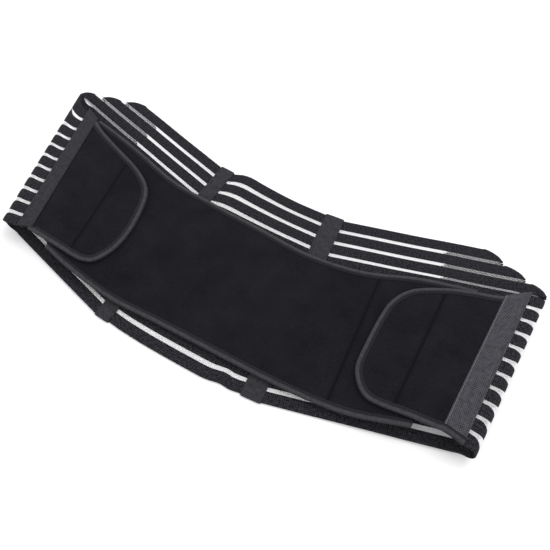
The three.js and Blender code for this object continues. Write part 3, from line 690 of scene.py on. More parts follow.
def white_monofilament():
    """Drawn nylon thread: smooth, milky white and slightly glossy, so a net of it over a pale
    ground barely shows."""
    material, tree, shader = new_finish("white_monofilament", 0.4, 0.0, 0.3)
    place_node = add_node(tree, "ShaderNodeTexCoord")
    grain = add_node(tree, "ShaderNodeTexNoise", Vector=(place_node, 3), Scale=120.0)
    tint, output = blended_colour(tree, (grain, 0), NET_SHADE, NET_CLEAR)
    tree.links.new(tint.outputs[output], shader.inputs["Base Color"])
    return material


STRANDS, STRAND_INPUTS = strand_tree("net strands")
NYLON = white_monofilament()
for j in range(STRIP_COUNT - 1):
    rails = net_rails(j)
    name = f"net_{j + 1:02d}"
    rail, other = evenly(*rails, NET_PITCH)
    faced = np.zeros(len(rail), bool)
    if j >= NET_TOP_GAP:
        left_from, right_from = (FACING_FROM[side][j - NET_TOP_GAP] for side in ("left", "right"))
        faced = (rail[:, 0] < left_from) | (rail[:, 0] > right_from)
    strands = chains_mesh(name, crossed_strands(rail, other, faced))
    values = {STRAND_INPUTS["radius"]: NET_RADIUS * MM, STRAND_INPUTS["finish"]: NYLON}
    add_piece(name, grown(name, strands, STRANDS, values), NYLON)
    if j < NET_TOP_GAP:
        continue
    rail, other = evenly(*rails, FACING_STEP)
    length = lengths_along(rail)
    for side, keep in (
        ("left", (rail[:, 0] < left_from) & (length > FACING_SHORT)),
        ("right", (rail[:, 0] > right_from) & (length < length[-1] - FACING_SHORT)),
    ):
        rings = []
        for a, b in zip(rail[keep], other[keep]):
            reach = (b - a) / np.linalg.norm(b - a) * FACING_REACH
            ring = []
            for v, h in rounded_profile(12, 0.8):
                height = h * FACING_THICKNESS / 2 - FACING_DROP
                ring.append(mix(a - reach, b + reach, (v + 1) / 2) + [0, 0, height])
            rings.append(ring)
        facing = skin_mesh("turned_under", rings)
        add_piece(f"turned_under_{j + 1:02d}_{side}", facing, ELASTIC)


# Back tapes: a flat black twill tape stitched right round the band at each side of the back,
# so the strips run through it. It hugs the strips and dips a little between them.
BACK_TAPE_WALL = 0.6
BACK_TAPE_TOP = 2.72
BACK_TAPE_DIP = 0.28
TWILL_PITCH = 1.9
TAPE_BLACK = "19181c"
TAPE_HIGH = "403f44"
TWILL_RELIEF = 0.12
BACK_TAPE_STEPS, BACK_TAPE_UNDER_STEPS, BACK_TAPE_TURN_STEPS = 160, 60, 9
TAPE_EDGE_NARROWING = 0.6


def twill_tape(name, dark, light, pitch, depth):
    """Woven twill tape: slanting ribs of doubled yarn, which give a dull dotted sheen. The real
    ribs are 1 mm apart and are drawn coarser so that they show."""
    material, tree, shader = new_finish(name, 0.8, 0.05, 0.15)
    uv = add_node(tree, "ShaderNodeUVMap", {"uv_map": "weave"})
    parts = add_node(tree, "ShaderNodeSeparateXYZ", Vector=(uv, 0))
    ribs = wave_of(tree, add_maths(tree, "ADD", (parts, 0), (parts, 1)), pitch)
    yarns = wave_of(tree, add_maths(tree, "SUBTRACT", (parts, 0), (parts, 1)), pitch)
    weave = add_maths(tree, "MULTIPLY", ribs, yarns)
    mottling = add_node(tree, "ShaderNodeTexNoise", Vector=(uv, 0), Scale=0.25, Detail=5.0)
    tone = add_maths(tree, "MULTIPLY_ADD", weave, 0.8, (mottling, 0))
    spread = add_node(tree, "ShaderNodeMapRange", Value=tone, From_Min=0.3, From_Max=1.3)
    woven_surface(tree, shader, weave, dark, light, depth, (spread, 0))
    return material


def back_tape_path():
    """Closed path round the band: along it and up, with the dips between the strips on top."""
    low, high = BACK_TAPE_WALL / 2, BACK_TAPE_TOP
    middle, radius = (low + high) / 2, (high - low) / 2
    path = []
    for along in np.linspace(0, BAND_HEIGHT, BACK_TAPE_STEPS):
        from_gap = (along - STRIP_WIDTH / 2) / BAND_PITCH
        dip = BACK_TAPE_DIP * (0.5 - 0.5 * math.cos(2 * math.pi * from_gap)) ** 2
        path.append((along, high - dip))
    for angle in np.linspace(90, -90, BACK_TAPE_TURN_STEPS)[1:-1]:
        a = math.radians(angle)
        path.append((BAND_HEIGHT + radius * math.cos(a), middle + radius * math.sin(a)))
    path += [(along, low) for along in np.linspace(BAND_HEIGHT, 0, BACK_TAPE_UNDER_STEPS)]
    for angle in np.linspace(-90, -270, BACK_TAPE_TURN_STEPS)[1:-1]:
        a = math.radians(angle)
        path.append((radius * math.cos(a), middle + radius * math.sin(a)))
    return np.array(path)


TAPE_PROFILE = rounded_profile(20, 0.75)
TWILL = twill_tape("black_twill_tape", TAPE_BLACK, TAPE_HIGH, TWILL_PITCH, TWILL_RELIEF)
for end in ENDS.values():
    path = back_tape_path()
    ahead = np.roll(path, -1, axis=0) - np.roll(path, 1, axis=0)
    ahead /= np.linalg.norm(ahead, axis=1, keepdims=True)
    rings = []
    for (along, z), (da, dz) in zip(path, ahead):
        past = max(0, -along, along - BAND_HEIGHT)
        half = end.bar_width / 2 - TAPE_EDGE_NARROWING * past**2
        ring = []
        for v, h in TAPE_PROFILE:
            off = h * BACK_TAPE_WALL / 2
            plan = end.bar_foot + end.bar_up * (along - dz * off) + end.bar_out * v * half
            ring.append([*plan, z + da * off])
        rings.append(ring)
    node = f"back_tape_{end.name}"
    add_piece(f"band_tape_{end.name}", skin_mesh(node, rings, closed=True), TWILL, [node])


# Stitching: rows of lockstitch in black polyester thread, which look like small raised
# dashes a little lighter than the cloth they hold.
BACK_STITCH_INSET = 1.5
STITCH_PITCH = 2.6
STITCH_LENGTH = 1.9
STITCH_RADIUS = 0.2
THREAD_BLACK = "28272c"
THREAD_PALE = "8d8c92"


def stitch_tree(name):
    """Geometry Nodes: short rounded stitches set at an even pitch along edge chains."""
    tree = bpy.data.node_groups.new(name, "GeometryNodeTree")
    sockets = add_sockets(tree, (
        ("pitch", "Stitch pitch", "NodeSocketFloat"),
        ("length", "Stitch length", "NodeSocketFloat"),
        ("radius", "Thread radius", "NodeSocketFloat"),
        ("finish", "Finish", "NodeSocketMaterial"),
    ))
    source = add_node(tree, "NodeGroupInput")
    seam = add_node(tree, "GeometryNodeMeshToCurve", i0=(source, 0))
    spots = add_node(
        tree, "GeometryNodeCurveToPoints", {"mode": "LENGTH"}, Curve=(seam, 0), Length=(source, 1)
    )
    stitch = add_node(tree, "GeometryNodeMeshUVSphere", Segments=6, Rings=4, Radius=1.0)
    size = add_node(tree, "ShaderNodeCombineXYZ", X=(source, 3), Y=(source, 3))
    half, output = add_maths(tree, "MULTIPLY", (source, 2), 0.5)
    tree.links.new(half.outputs[output], size.inputs["Z"])
    placed_stitches = add_node(
        tree, "GeometryNodeInstanceOnPoints",
        Points=(spots, 0), Instance=(stitch, 0), Rotation=(spots, 3), Scale=(size, 0),
    )
    joined = add_node(tree, "GeometryNodeRealizeInstances", i0=(placed_stitches, 0))
    shaded = add_node(tree, "GeometryNodeSetShadeSmooth", i0=(joined, 0))
    finished = add_node(tree, "GeometryNodeSetMaterial", Geometry=(shaded, 0), Material=(source, 4))
    add_node(tree, "NodeGroupOutput", i0=(finished, 0))
    return tree, sockets


def polyester_thread(name, tone):
    """Spun polyester sewing thread: a twisted yarn, duller than filament, with a faint slant."""
    material, tree, shader = new_finish(name, 0.6, 0.1, 0.3)
    place_node = add_node(tree, "ShaderNodeTexCoord")
    twist = add_node(tree, "ShaderNodeTexNoise", Vector=(place_node, 3), Scale=1500.0)
    colour, output = blended_colour(tree, (twist, 0), TAPE_BLACK, tone)
    tree.links.new(colour.outputs[output], shader.inputs["Base Color"])
    return material


STITCHES, STITCH_INPUTS = stitch_tree("lockstitch row")
BLACK_THREAD = polyester_thread("black_polyester_thread", THREAD_BLACK)
PALE_THREAD = polyester_thread("grey_polyester_thread", THREAD_PALE)


def stitch_rows(name, chains, material, sizes=(STITCH_PITCH, STITCH_LENGTH, STITCH_RADIUS)):
    """Rows of stitches along chains of points, as one piece: sizes are pitch, length, radius."""
    pitch, length, radius = sizes
    values = {
        STITCH_INPUTS["pitch"]: pitch * MM,
        STITCH_INPUTS["length"]: length * MM,
        STITCH_INPUTS["radius"]: radius * MM,
        STITCH_INPUTS["finish"]: material,
    }
    stitches = grown(name, chains_mesh(name, chains), STITCHES, values)
    return add_piece(name, stitches, material)


for end in ENDS.values():
    rows = []
    for side in (-1, 1):
        across = side * (end.bar_width / 2 - BACK_STITCH_INSET)
        rows.append([
            [*(end.bar_foot + end.bar_up * along + end.bar_out * across), z + BACK_TAPE_WALL / 2]
            for along, z in back_tape_path()[:BACK_TAPE_STEPS]
        ])
    stitch_rows(f"band_tape_stitches_{end.name}", rows, BLACK_THREAD)


# Bar tacks: a small zigzag of black thread across each gap of the top strips, sewn where the
# facing starts and at the hem, which ties the facing to the strips. A tack's stitch has a
# pitch, a length and a thread radius.
TACK_TEETH = 5
TACK_WIDTH = 1.6
TACK_OVERLAP = 1.8
TACK_HEIGHT = 0.75
TACK_FROM_HEM = 3.0
TACK_STEP = 1.0
TACK_STITCH = (0.9, 1.3, 0.22)

for j in range(NET_TOP_GAP, STRIP_COUNT - 1):
    rail, other = evenly(*net_rails(j), TACK_STEP)
    length = lengths_along(rail)
    tacks = []
    for place in (
        np.argmin(abs(rail[:, 0] - FACING_FROM["left"][j - NET_TOP_GAP])),
        np.argmin(abs(rail[:, 0] - FACING_FROM["right"][j - NET_TOP_GAP])),
        np.argmin(abs(length - TACK_FROM_HEM)),
        np.argmin(abs(length - length[-1] + TACK_FROM_HEM)),
    ):
        across, ahead = other[place] - rail[place], rail[place] - rail[place - 1]
        across, ahead = across / np.linalg.norm(across), ahead / np.linalg.norm(ahead)
        first, last = rail[place] - across * TACK_OVERLAP, other[place] + across * TACK_OVERLAP
        teeth = []
        for k in range(TACK_TEETH + 1):
            aside = ahead * TACK_WIDTH / 2 * (-1) ** k
            teeth.append(mix(first, last, k / TACK_TEETH) + aside + [0, 0, TACK_HEIGHT])
        tacks += list(zip(teeth, teeth[1:]))
    stitch_rows(f"bar_tacks_{j + 1:02d}", tacks, BLACK_THREAD, TACK_STITCH)


# Front tapes: a folded twill tape that holds the ends of the strips along its outer edge and
# the tab along its inner edge, stitched through near both. The right tape's inner row is sewn
# in grey thread. A stitch has a pitch, a length and a thread radius. Both tapes are the same
# twill; the right one is given lighter tones as painted light.
FRONT_TAPE_LENGTH = 155
FRONT_TAPE_SKIN = 1.7
STRIP_SLOT = 0.85
TAB_SLOT = 1.1
# Dark and light tones of each front tape: the right tape's are lighter as painted light, not a
# paler cloth.
FRONT_TAPE_PAINTED_LIGHT_TONES = {"left": ("19181c", "3c3b40"), "right": ("242328", "545359")}
FRONT_TWILL_PITCH = 2.4
FRONT_TWILL_RELIEF = 0.2
FRONT_STITCH_INSET = 1.3
OUTER_STITCH_SHIFT = 0.8
STITCH_LIFT = 0.02
STITCH_ROW_SPAN = (0.02, 0.98)
TAPE_END_ROUND = 3.0
TAPE_END_THIN = 0.8
TAPE_END_PLACES = (0, 0.25, 0.8, 1.6, 2.4)
TAPE_ENDS_CLEAR = 3.2
FOOT_SLOPE = {"left": 0.1, "right": 0.12}
BLACK_STITCH = (STITCH_PITCH, STITCH_LENGTH, STITCH_RADIUS)
PALE_STITCH = (2.3, 2.2, 0.3)


def front_tape_section(width):
    """Section of the folded tape: distance in from its outer edge, and height off its middle."""
    middle = width / 2
    skin, tab, strip = FRONT_TAPE_SKIN, TAB_SLOT, STRIP_SLOT
    top = [
        (width - 0.15, tab), (width, (tab + skin) / 2), (width - 0.25, skin - 0.08),
        (width - 1.2, skin), (width * 0.8, skin + 0.05), (width * 0.62, skin + 0.12),
        (middle, skin + 0.15), (width * 0.38, skin + 0.08), (width * 0.2, skin - 0.05),
        (2.4, skin - 0.12), (1.3, skin - 0.25), (0.35, skin - 0.4),
        (0, (strip + skin) / 2 - 0.15), (0.2, strip),
    ]
    strip_slot = [(middle - 0.3, strip), (middle - 0.3, -strip)]
    bottom = [(x, -h) for x, h in reversed(top)]
    tab_slot = [(middle + 0.3, -tab), (middle + 0.3, tab)]
    return top + strip_slot + bottom + tab_slot


def on_front_tape(end, inward, t, h):
    """A point in from a front tape's outer edge, at a share t of its length from the foot."""
    foot = FOOT_SLOPE[end.name] * inward
    head = FRONT_TAPE_LENGTH + end.head_slope * inward
    plan = end.tape_foot + end.tape_in * inward + end.tape_up * mix(foot, head, t)
    return np.array([*plan, LOOP_HEIGHT + h])


for end in ENDS.values():
    # Each tape gets its own tones: the right one's lighter tones are painted light.
    tones = FRONT_TAPE_PAINTED_LIGHT_TONES[end.name]
    finish = f"folded_twill_tape_{end.name}"
    front_twill = twill_tape(finish, *tones, FRONT_TWILL_PITCH, FRONT_TWILL_RELIEF)
    section = front_tape_section(end.tape_width)
    rings = []
    between = np.linspace(TAPE_ENDS_CLEAR, FRONT_TAPE_LENGTH - TAPE_ENDS_CLEAR, 70)
    places = [(along, along / FRONT_TAPE_LENGTH) for along in (*TAPE_END_PLACES, *between)]
    places += [(along, 1 - along / FRONT_TAPE_LENGTH) for along in reversed(TAPE_END_PLACES)]
    for from_end, t in places:
        roundness = min(from_end, TAPE_END_ROUND) / TAPE_END_ROUND
        thin = mix(TAPE_END_THIN, 1, math.sqrt(1 - (1 - roundness) ** 2))
        rings.append([on_front_tape(end, x, t, h * thin) for x, h in section])
    node = f"front_tape_{end.name}"
    add_piece(f"strip_tape_{end.name}", skin_mesh(node, rings), front_twill, [node])
    pale = end.outward > 0
    for label, inward, thread, sizes in (
        ("outer", FRONT_STITCH_INSET + OUTER_STITCH_SHIFT, BLACK_THREAD, BLACK_STITCH),
        (
            "inner", end.tape_width - FRONT_STITCH_INSET,
            PALE_THREAD if pale else BLACK_THREAD, PALE_STITCH if pale else BLACK_STITCH,
        ),
    ):
        height = FRONT_TAPE_SKIN + STITCH_LIFT
        row = [on_front_tape(end, inward, t, height) for t in np.linspace(*STITCH_ROW_SPAN, 60)]
        stitch_rows(f"strip_tape_stitches_{label}_{end.name}", [row], thread, sizes)


# Fastening tabs: black velour tabs with hook patches beneath, folded in from each side over
# the panel. Each is one layer of loop velour, its curved edge bound in folded tape.
CLOTH_THICKNESS = 1.6
BINDING_WIDTH = 6.4
TAB_LENGTH = 103
FRONT_SAG, SAG_START, SAG_SPAN = 12.1, 3, 107
SEAT = 0.9
STRAIGHT_SHARE = 0.67
TAB_RINGS = 34
TAB_SAMPLES = 260
CLOTH_WAVE = 0.3
VELOUR_BLACK = "0f0e12"
VELOUR_HIGH = "1d1c21"
BINDING_BLACK = "141317"
# The binding's light tone shows only in the painted highlight along its fold.
BINDING_PAINTED_HIGHLIGHT = "3c3b40"
BINDING_RIB = 1.5
VELOUR_RELIEF, BINDING_RELIEF = 0.45, 0.1
PLATE_EDGE_HALF, PLATE_EDGE_FROM, PLATE_EDGE_SPAN = 0.25, 0.985, 0.015
# Painted highlight along the binding's fold: where it peaks, in mm round the binding's section, and
# how far from there it stays full and where it has faded.
PAINTED_HIGHLIGHT_AT, PAINTED_HIGHLIGHT_NEAR, PAINTED_HIGHLIGHT_FAR = 3.7, 0.7, 2.6
# Seam in the velour: in mm from its line, where the groove is deepest and where it ends, which also
# darkens the tone there as painted shade, then the reach of the painted shade beside it.
SEAM_GROOVE = (0.2, 1.6)
SEAM_SHADE_REACH = 5.0

# Outlines from the lower corner round the tip: shares of tab length inward, of tape length along
TAB_OUTLINE = {
    "left": [
        (0.07, 0.0), (0.303, -0.04), (0.472, -0.068), (0.68, -0.096), (0.81, -0.07),
        (0.919, 0.036), (0.975, 0.17), (0.99, 0.34), (0.965, 0.48), (0.89, 0.57),
        (0.75, 0.65), (0.573, 0.719), (0.41, 0.78), (0.24, 0.855), (0.07, 0.955),
    ],
    "right": [
        (0.07, 0.02), (0.24, -0.004), (0.422, -0.02), (0.663, -0.044), (0.8, -0.04),
        (0.913, 0.015), (0.985, 0.1), (1.007, 0.24), (1.018, 0.4), (1.005, 0.535),
        (0.935, 0.64), (0.82, 0.71), (0.615, 0.78), (0.415, 0.828), (0.24, 0.87), (0.07, 0.95),
    ],
}

# Where a sewn hook patch shows through each tab as a straight seam: its two ends, in
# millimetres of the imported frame
TAB_SEAMS = {
    "left": ((-151.4, 16.7), (-140.4, -71.4)),
    "right": ((184.6, 36.7), (182.6, -63.4)),
}


def tab_height(x, y):
    """Height of the middle of the tab cloth, sagging away from the front tapes."""
    plan = np.array([x, y])
    inward = [(plan - end.tape_foot) @ end.tape_in - end.tape_width for end in ENDS.values()]
    return LOOP_HEIGHT - FRONT_SAG * smooth((min(inward) - SAG_START) / SAG_SPAN)


def cloth_ripple(x, y):
    """Slight unevenness of cloth that has been folded and handled."""
    long_wave = 0.5 * math.sin(x / 17 + y / 29)
    cross_wave = 0.3 * math.sin(x / 41 - y / 13 + 1)
    return CLOTH_WAVE * (long_wave + cross_wave + 0.2 * math.sin(x / 9 + 2))


def tab_outline(end, samples):
    """Plan outline of a tab, from its lower corner round the tip."""
    rows = [(i, *row) for i, row in enumerate(TAB_OUTLINE[end.name])]
    points = []
    for step in np.linspace(0, len(rows) - 1, samples):
        inward = TAB_LENGTH * table_at(rows, 1, step)
        along = FRONT_TAPE_LENGTH * table_at(rows, 2, step)
        points.append(end.tape_foot + end.tape_in * inward + end.tape_up * along)
    return np.array(points)


def inward_normals(points, turn):
    """Directions into the cloth from an outline, on the side that turn gives."""
    ahead = np.gradient(points, axis=0)
    ahead /= np.linalg.norm(ahead, axis=1, keepdims=True)
    return turn * np.column_stack([-ahead[:, 1], ahead[:, 0]])


def eased_range(tree, value, **limits):
    """The output of a smooth change of range."""
    smooth_step = {"interpolation_type": "SMOOTHSTEP"}
    return (add_node(tree, "ShaderNodeMapRange", smooth_step, Value=value, **limits), 0)


def velour(name, seam):
    """Brushed nylon loop velour: a short dense nap that drinks light and shows faint brushed
    patches. A sewn line presses it into a thin groove, and painted shade darkens the groove
    and a band a few millimetres either side of it."""
    material, tree, shader = new_finish(name, 0.95, 0.06, 0.03)
    place_node = add_node(tree, "ShaderNodeTexCoord")
    nap = add_node(tree, "ShaderNodeTexNoise", Vector=(place_node, 3), Scale=900.0, Detail=2.0)
    patches = add_node(tree, "ShaderNodeTexNoise", Vector=(place_node, 3), Scale=45.0, Detail=5.0)
    brushed = add_maths(tree, "MULTIPLY_ADD", (patches, 0), 0.9, -0.245)
    height = add_maths(tree, "MULTIPLY", (nap, 0), 0.35)
    tone = add_maths(tree, "MULTIPLY_ADD", (nap, 0), 1.2, brushed)
    tone = (add_node(tree, "ShaderNodeMapRange", Value=tone, From_Min=0.4, From_Max=1.1), 0)
    (ax, ay), (bx, by) = seam
    length = math.hypot(bx - ax, by - ay)
    normal = ((ay - by) / length, (bx - ax) / length, 0)
    origin = (ax * normal[0] + ay * normal[1]) * MM
    dot = {"operation": "DOT_PRODUCT"}
    along = add_node(tree, "ShaderNodeVectorMath", dot, i0=(place_node, 3), i1=normal)
    away = add_maths(tree, "ABSOLUTE", add_maths(tree, "SUBTRACT", (along, 1), origin))
    groove = eased_range(tree, away, From_Min=SEAM_GROOVE[0] * MM, From_Max=SEAM_GROOVE[1] * MM)
    # Painted shade: a band either side of the seam is darkened, as shade in and beside the groove.
    seam_shade = eased_range(tree, away, From_Max=SEAM_SHADE_REACH * MM, To_Min=0.55)
    height = add_maths(tree, "ADD", height, groove)
    # The tone is darkened by painted shade in the groove and in the band beside it.
    tone = add_maths(tree, "MULTIPLY", add_maths(tree, "MULTIPLY", tone, groove), seam_shade)
    woven_surface(tree, shader, height, VELOUR_BLACK, VELOUR_HIGH, VELOUR_RELIEF, tone)
    return material


def folded_binding():
    """Fold-over binding: a soft knitted tape with a fine cross rib, about as dark as the velour,
    with a painted highlight along the rounded crown of its fold."""
    material, tree, shader = new_finish("folded_knit_binding", 0.85, 0.08, 0.1)
    uv = add_node(tree, "ShaderNodeUVMap", {"uv_map": "weave"})
    parts = add_node(tree, "ShaderNodeSeparateXYZ", Vector=(uv, 0))
    ribs = wave_of(tree, (parts, 0), BINDING_RIB)
    away = add_maths(tree, "ABSOLUTE", add_maths(tree, "SUBTRACT", (parts, 1), PAINTED_HIGHLIGHT_AT))
    # Painted highlight: the tone rises along the crown of the fold, where light catches it, with a
    # random mottling.
    painted_highlight = eased_range(tree, away, From_Min=PAINTED_HIGHLIGHT_FAR, From_Max=PAINTED_HIGHLIGHT_NEAR)
    mottling = add_node(tree, "ShaderNodeTexNoise", Vector=(uv, 0), Scale=0.3, Detail=4.0)
    grain = add_maths(tree, "MULTIPLY_ADD", ribs, 0.15, (mottling, 0))
    tone = add_maths(tree, "MULTIPLY_ADD", add_maths(tree, "MULTIPLY", grain, painted_highlight), 1.3, 0.1)
    woven_surface(tree, shader, ribs, BINDING_BLACK, BINDING_PAINTED_HIGHLIGHT, BINDING_RELIEF, tone)
    return material


def plate_mesh(name, outline, rings, height_at):
    """A cloth plate over a star-shaped outline, with a UV map in millimetres."""
    centre = outline.mean(axis=0)
    count = len(outline)
    shares = np.sqrt(np.linspace(0, 1, rings + 1)[1:])
    shares[-1] = 1
    points, half = [], CLOTH_THICKNESS / 2
    for h in (half, -half):
        points.append([*centre, height_at(*centre) + h])
        for share in shares:
            ring = mix(centre, outline, share)
            thin = smooth((share - PLATE_EDGE_FROM) / PLATE_EDGE_SPAN)
            edge = mix(half, PLATE_EDGE_HALF, thin)
            points += [[x, y, height_at(x, y) + math.copysign(edge, h)] for x, y in ring]
    faces = []
    sheet = 1 + count * rings
    k = np.arange(count)
    n = (k + 1) % count
    faces += [(0, 1 + a, 1 + b) for a, b in zip(k, n)]
    faces += [(sheet, sheet + 1 + b, sheet + 1 + a) for a, b in zip(k, n)]
    for r in range(rings - 1):
        a, b = 1 + r * count + k, 1 + r * count + n
        faces += list(zip(a, a + count, b + count, b))
        faces += list(zip(sheet + a, sheet + b, sheet + b + count, sheet + a + count))
    edge = 1 + (rings - 1) * count
    faces += list(zip(edge + k, sheet + edge + k, sheet + edge + n, edge + n))
    mesh = bpy.data.meshes.new(name)
    mesh.from_pydata(placed(points).tolist(), [], [tuple(int(i) for i in f) for f in faces])
    layer = mesh.uv_layers.new(name="weave")
    flat = np.array([points[loop.vertex_index][:2] for loop in mesh.loops])
    layer.data.foreach_set("uv", flat.ravel())
    return outward_facing(mesh)


# Section of the folded binding: in from its outer edge, and above the middle of the cloth
BINDING_SECTION = [
    (0.0, -0.7), (0.0, 0.7), (0.3, 1.35), (0.9, 1.75), (1.7, 1.95), (2.6, 1.95), (3.6, 1.8),
    (4.6, 1.55), (5.3, 1.32), (5.9, 1.2), (6.3, 1.1), (6.1, 0.95), (0.6, 0.95), (0.6, -0.95),
    (6.1, -0.95), (6.3, -1.1), (5.9, -1.2), (5.3, -1.32), (4.6, -1.5), (3.6, -1.65),
    (2.6, -1.74), (1.7, -1.74), (0.9, -1.6), (0.3, -1.3),
]
TUCK_REACH = 5.0
TUCK_THIN = 0.55
TAPE_TUCK = 3.0

# The right tab's lower binding runs on over the foot of its front tape: places of its outer
# edge, in from the tape's outer edge and along it, and how much thicker it is there
FOOT_WRAP = [(0.0, -0.8), (6.0, -0.2), (12.0, 0.6), (18.0, 0.8)]
FOOT_WRAP_FROM = 5.0
FOOT_WRAP_THICK = 1.55
BINDING_STITCH_INSET = 5.1
BINDING_STITCH_HEIGHT = 1.42
STITCH_CLEAR_OF_TAPE = 2


def binding_mesh(name, points, inwards, height_at, thickness):
    """A binding along a cloth's edge, its thickness a share at each point of the edge."""
    rings = []
    for point, inward, share in zip(points, inwards, thickness):
        ring = []
        for depth, h in BINDING_SECTION:
            x, y = point + inward * depth
            ring.append([x, y, height_at(x, y) + h * share])
        rings.append(ring)
    return skin_mesh(name, rings)


def binding_stitch_row(points, inwards, height_at):
    """The line of the binding's stitches, on its upper face."""
    line = points + inwards * BINDING_STITCH_INSET
    return [[x, y, height_at(x, y) + BINDING_STITCH_HEIGHT] for x, y in line]


def tab_surface(x, y):
    """Height of the middle of a tab, which ripples less than the panel beneath it."""
    return tab_height(x, y) + cloth_ripple(x, y) * 0.5


BINDING = folded_binding()
for end in ENDS.values():
    inward_of = lambda points: (points - end.tape_foot) @ end.tape_in
    outline = tab_outline(end, TAB_SAMPLES)
    normals = inward_normals(outline, -end.outward)
    inset = outline + normals * SEAT
    curve = inset[inward_of(inset) > end.tape_width / 2 + SEAT * STRAIGHT_SHARE]
    straight = np.array([mix(curve[-1], curve[0], t) for t in np.linspace(0, 1, 40)[1:-1]])
    plate = plate_mesh(f"tab_{end.name}", np.vstack([curve, straight]), TAB_RINGS, tab_surface)
    nap = velour(f"brushed_velour_tab_{end.name}", TAB_SEAMS[end.name])
    tab = add_piece(f"velour_tab_{end.name}", plate, nap, [f"tab_{end.name}"])

    into_tape = end.tape_width / 2 + TAPE_TUCK
    inner = outline + normals * BINDING_WIDTH
    keep = (inward_of(outline) > into_tape) & (inward_of(inner) > into_tape)
    points, inwards = outline[keep], normals[keep]
    clear_of_tape = inward_of(points) - end.tape_width
    at_foot = TUCK_THIN
    if end.outward > 0:
        begin = np.argmax(clear_of_tape > FOOT_WRAP_FROM)
        wrap = [end.tape_foot + end.tape_in * inward + end.tape_up * up for inward, up in FOOT_WRAP]
        wrap.append(points[begin])
        quarters = (0, 0.25, 0.5, 0.75)
        tail = [mix(a, b, t) for a, b in zip(wrap, wrap[1:]) for t in quarters]
        points = np.vstack([tail, points[begin:]])
        inwards = inward_normals(points, -end.outward)
        clear_of_tape = inward_of(points) - end.tape_width
        at_foot = FOOT_WRAP_THICK
    in_tape = np.where(np.arange(len(points)) < len(points) // 2, at_foot, TUCK_THIN)
    thickness = mix(in_tape, 1, smooth(clear_of_tape / TUCK_REACH))
    binding = binding_mesh(f"tab_binding_{end.name}", points, inwards, tab_surface, thickness)
    edge = add_piece(
        f"tab_edge_binding_{end.name}", binding, BINDING, [f"tab_binding_{end.name}"]
    )
    past_tape = inward_of(points + inwards * BINDING_STITCH_INSET) - end.tape_width
    sewn = past_tape > STITCH_CLEAR_OF_TAPE
    row = binding_stitch_row(points[sewn], inwards[sewn], tab_surface)
    stitches = stitch_rows(f"tab_edge_stitches_{end.name}", [row], BLACK_THREAD)


# Front panel: one long curved velour panel that the tabs fasten onto, its long edges bound
# like the tabs. A sewn line crosses it beside the right tab.
FRONT_LENGTH = 380
FRONT_HEIGHT = 140
TAB_OVER_PANEL = 3.9
PANEL_STEPS = 150
PANEL_ROWS = 56

# Share from left to right, then shares of front length and height of the upper and lower edges
PANEL_EDGES = [
    (0.0, -0.545, 0.574, -0.42, -0.504),
    (0.125, -0.395, 0.496, -0.337, -0.554),
    (0.25, -0.258, 0.411, -0.211, -0.593),
    (0.375, -0.121, 0.379, -0.087, -0.588),
    (0.5, 0.013, 0.357, 0.037, -0.586),
    (0.625, 0.15, 0.332, 0.161, -0.584),
    (0.75, 0.284, 0.379, 0.287, -0.575),
    (0.875, 0.421, 0.5, 0.413, -0.543),
    (1.0, 0.558, 0.564, 0.539, -0.45),
]
PANEL_SEAM = ((126.6, 35.7), (132.6, -78.4))
PANEL_RIPPLE_SHIFT = 60


def panel_surface(x, y):
    """Height of the middle of the panel, which lies on under both tabs."""
    return tab_height(x, y) - TAB_OVER_PANEL + cloth_ripple(x + PANEL_RIPPLE_SHIFT, y)


def panel_edge(column):
    """Outline of a long edge, from its x column of the table and the y column after it."""
    return np.array([
        (
            FRONT_LENGTH * table_at(PANEL_EDGES, column, share),
            FRONT_HEIGHT * table_at(PANEL_EDGES, column + 1, share),
        )
        for share in np.linspace(0, 1, PANEL_STEPS)
    ])


upper_edge, lower_edge = panel_edge(1), panel_edge(3)
borders = {
    "upper": (upper_edge, inward_normals(upper_edge, -1)),
    "lower": (lower_edge, inward_normals(lower_edge, 1)),
}
rings = []
for i in range(PANEL_STEPS):
    low, high = (borders[label][0][i] + borders[label][1][i] * SEAT for label in ("lower", "upper"))
    row = [mix(low, high, t) for t in np.linspace(0, 1, PANEL_ROWS)]
    above = [[x, y, panel_surface(x, y) + CLOTH_THICKNESS / 2] for x, y in row]
    below = [[x, y, panel_surface(x, y) - CLOTH_THICKNESS / 2] for x, y in row]
    rings.append(above + below[::-1])
nap = velour("brushed_velour_panel", PANEL_SEAM)
panel = add_piece(
    "velour_front_panel", skin_mesh("front_panel", rings), nap, ["front_panel"]
)
for label, (points, inwards) in borders.items():
    node = f"panel_binding_{label}"
    binding = binding_mesh(node, points, inwards, panel_surface, np.ones(len(points)))
    add_piece(f"panel_edge_binding_{label}", binding, BINDING, [node])
    row = binding_stitch_row(points, inwards, panel_surface)
    stitch_rows(f"panel_edge_stitches_{label}", [row], BLACK_THREAD)


# Studio: a plain pale floor under even soft light, with a slightly stronger light from above
# the belt's far side.
CAMERA_PLACE = (0.1483, -0.2086, 0.4519)
CAMERA_LOOKS = (-0.2195, 0.4062, -0.8870)
CAMERA_LENS = 35.0
FLOOR_SIZE = 8.0
FLOOR_TONE = "f7f7f8"
SKY_STRENGTH = 0.97

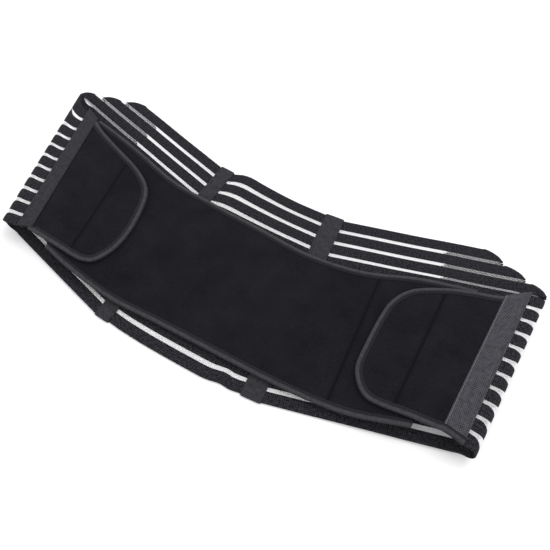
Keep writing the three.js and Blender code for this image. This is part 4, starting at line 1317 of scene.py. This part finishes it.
# Soft boxes: name, place in metres, size in metres, power in watts
SOFT_BOXES = [
    ("soft_box_over", (0.3, 0.6, 1.3), 1.0, 9.0),
    ("soft_box_front", (-0.5, -0.9, 1.2), 1.0, 3.0),
]

floor_mesh = bpy.data.meshes.new("floor")
half = FLOOR_SIZE / 2
floor_corners = [(-half, -half, 0), (half, -half, 0), (half, half, 0), (-half, half, 0)]
floor_mesh.from_pydata(floor_corners, [], [(0, 1, 2, 3)])
floor = bpy.data.objects.new("floor", floor_mesh)
bpy.context.scene.collection.objects.link(floor)
matt_white = bpy.data.materials.new("matt_white_paper")
matt_white.use_nodes = True
paper = matt_white.node_tree.nodes["Principled BSDF"]
paper.inputs["Base Color"].default_value = linear(FLOOR_TONE)
paper.inputs["Roughness"].default_value = 1.0
paper.inputs["Specular IOR Level"].default_value = 0.0
floor_mesh.materials.append(matt_white)
floor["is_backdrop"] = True

world = bpy.data.worlds.new("studio")
world.use_nodes = True
world.node_tree.nodes["Background"].inputs["Color"].default_value = (1, 1, 1, 1)
world.node_tree.nodes["Background"].inputs["Strength"].default_value = SKY_STRENGTH
bpy.context.scene.world = world

for name, place, size, power in SOFT_BOXES:
    light = bpy.data.lights.new(name, "AREA")
    light.size = size
    light.energy = power
    lamp = bpy.data.objects.new(name, light)
    lamp.location = place
    lamp.rotation_euler = Vector(place).to_track_quat("Z", "Y").to_euler()
    bpy.context.scene.collection.objects.link(lamp)

camera = bpy.data.cameras.new("camera")
camera.lens = CAMERA_LENS
camera.sensor_width = 36.0
camera.clip_start = 0.01
camera_object = bpy.data.objects.new("camera", camera)
camera_object.location = CAMERA_PLACE
camera_object.rotation_euler = Vector(CAMERA_LOOKS).to_track_quat("-Z", "Y").to_euler()
bpy.context.scene.collection.objects.link(camera_object)
bpy.context.scene.camera = camera_object
bpy.context.scene.view_settings.view_transform = "Standard"

shown_low, shown_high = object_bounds()
sizes = {
    "solids": [list(solid_low), list(solid_high)],
    "shown": [list(shown_low), list(shown_high)],
}
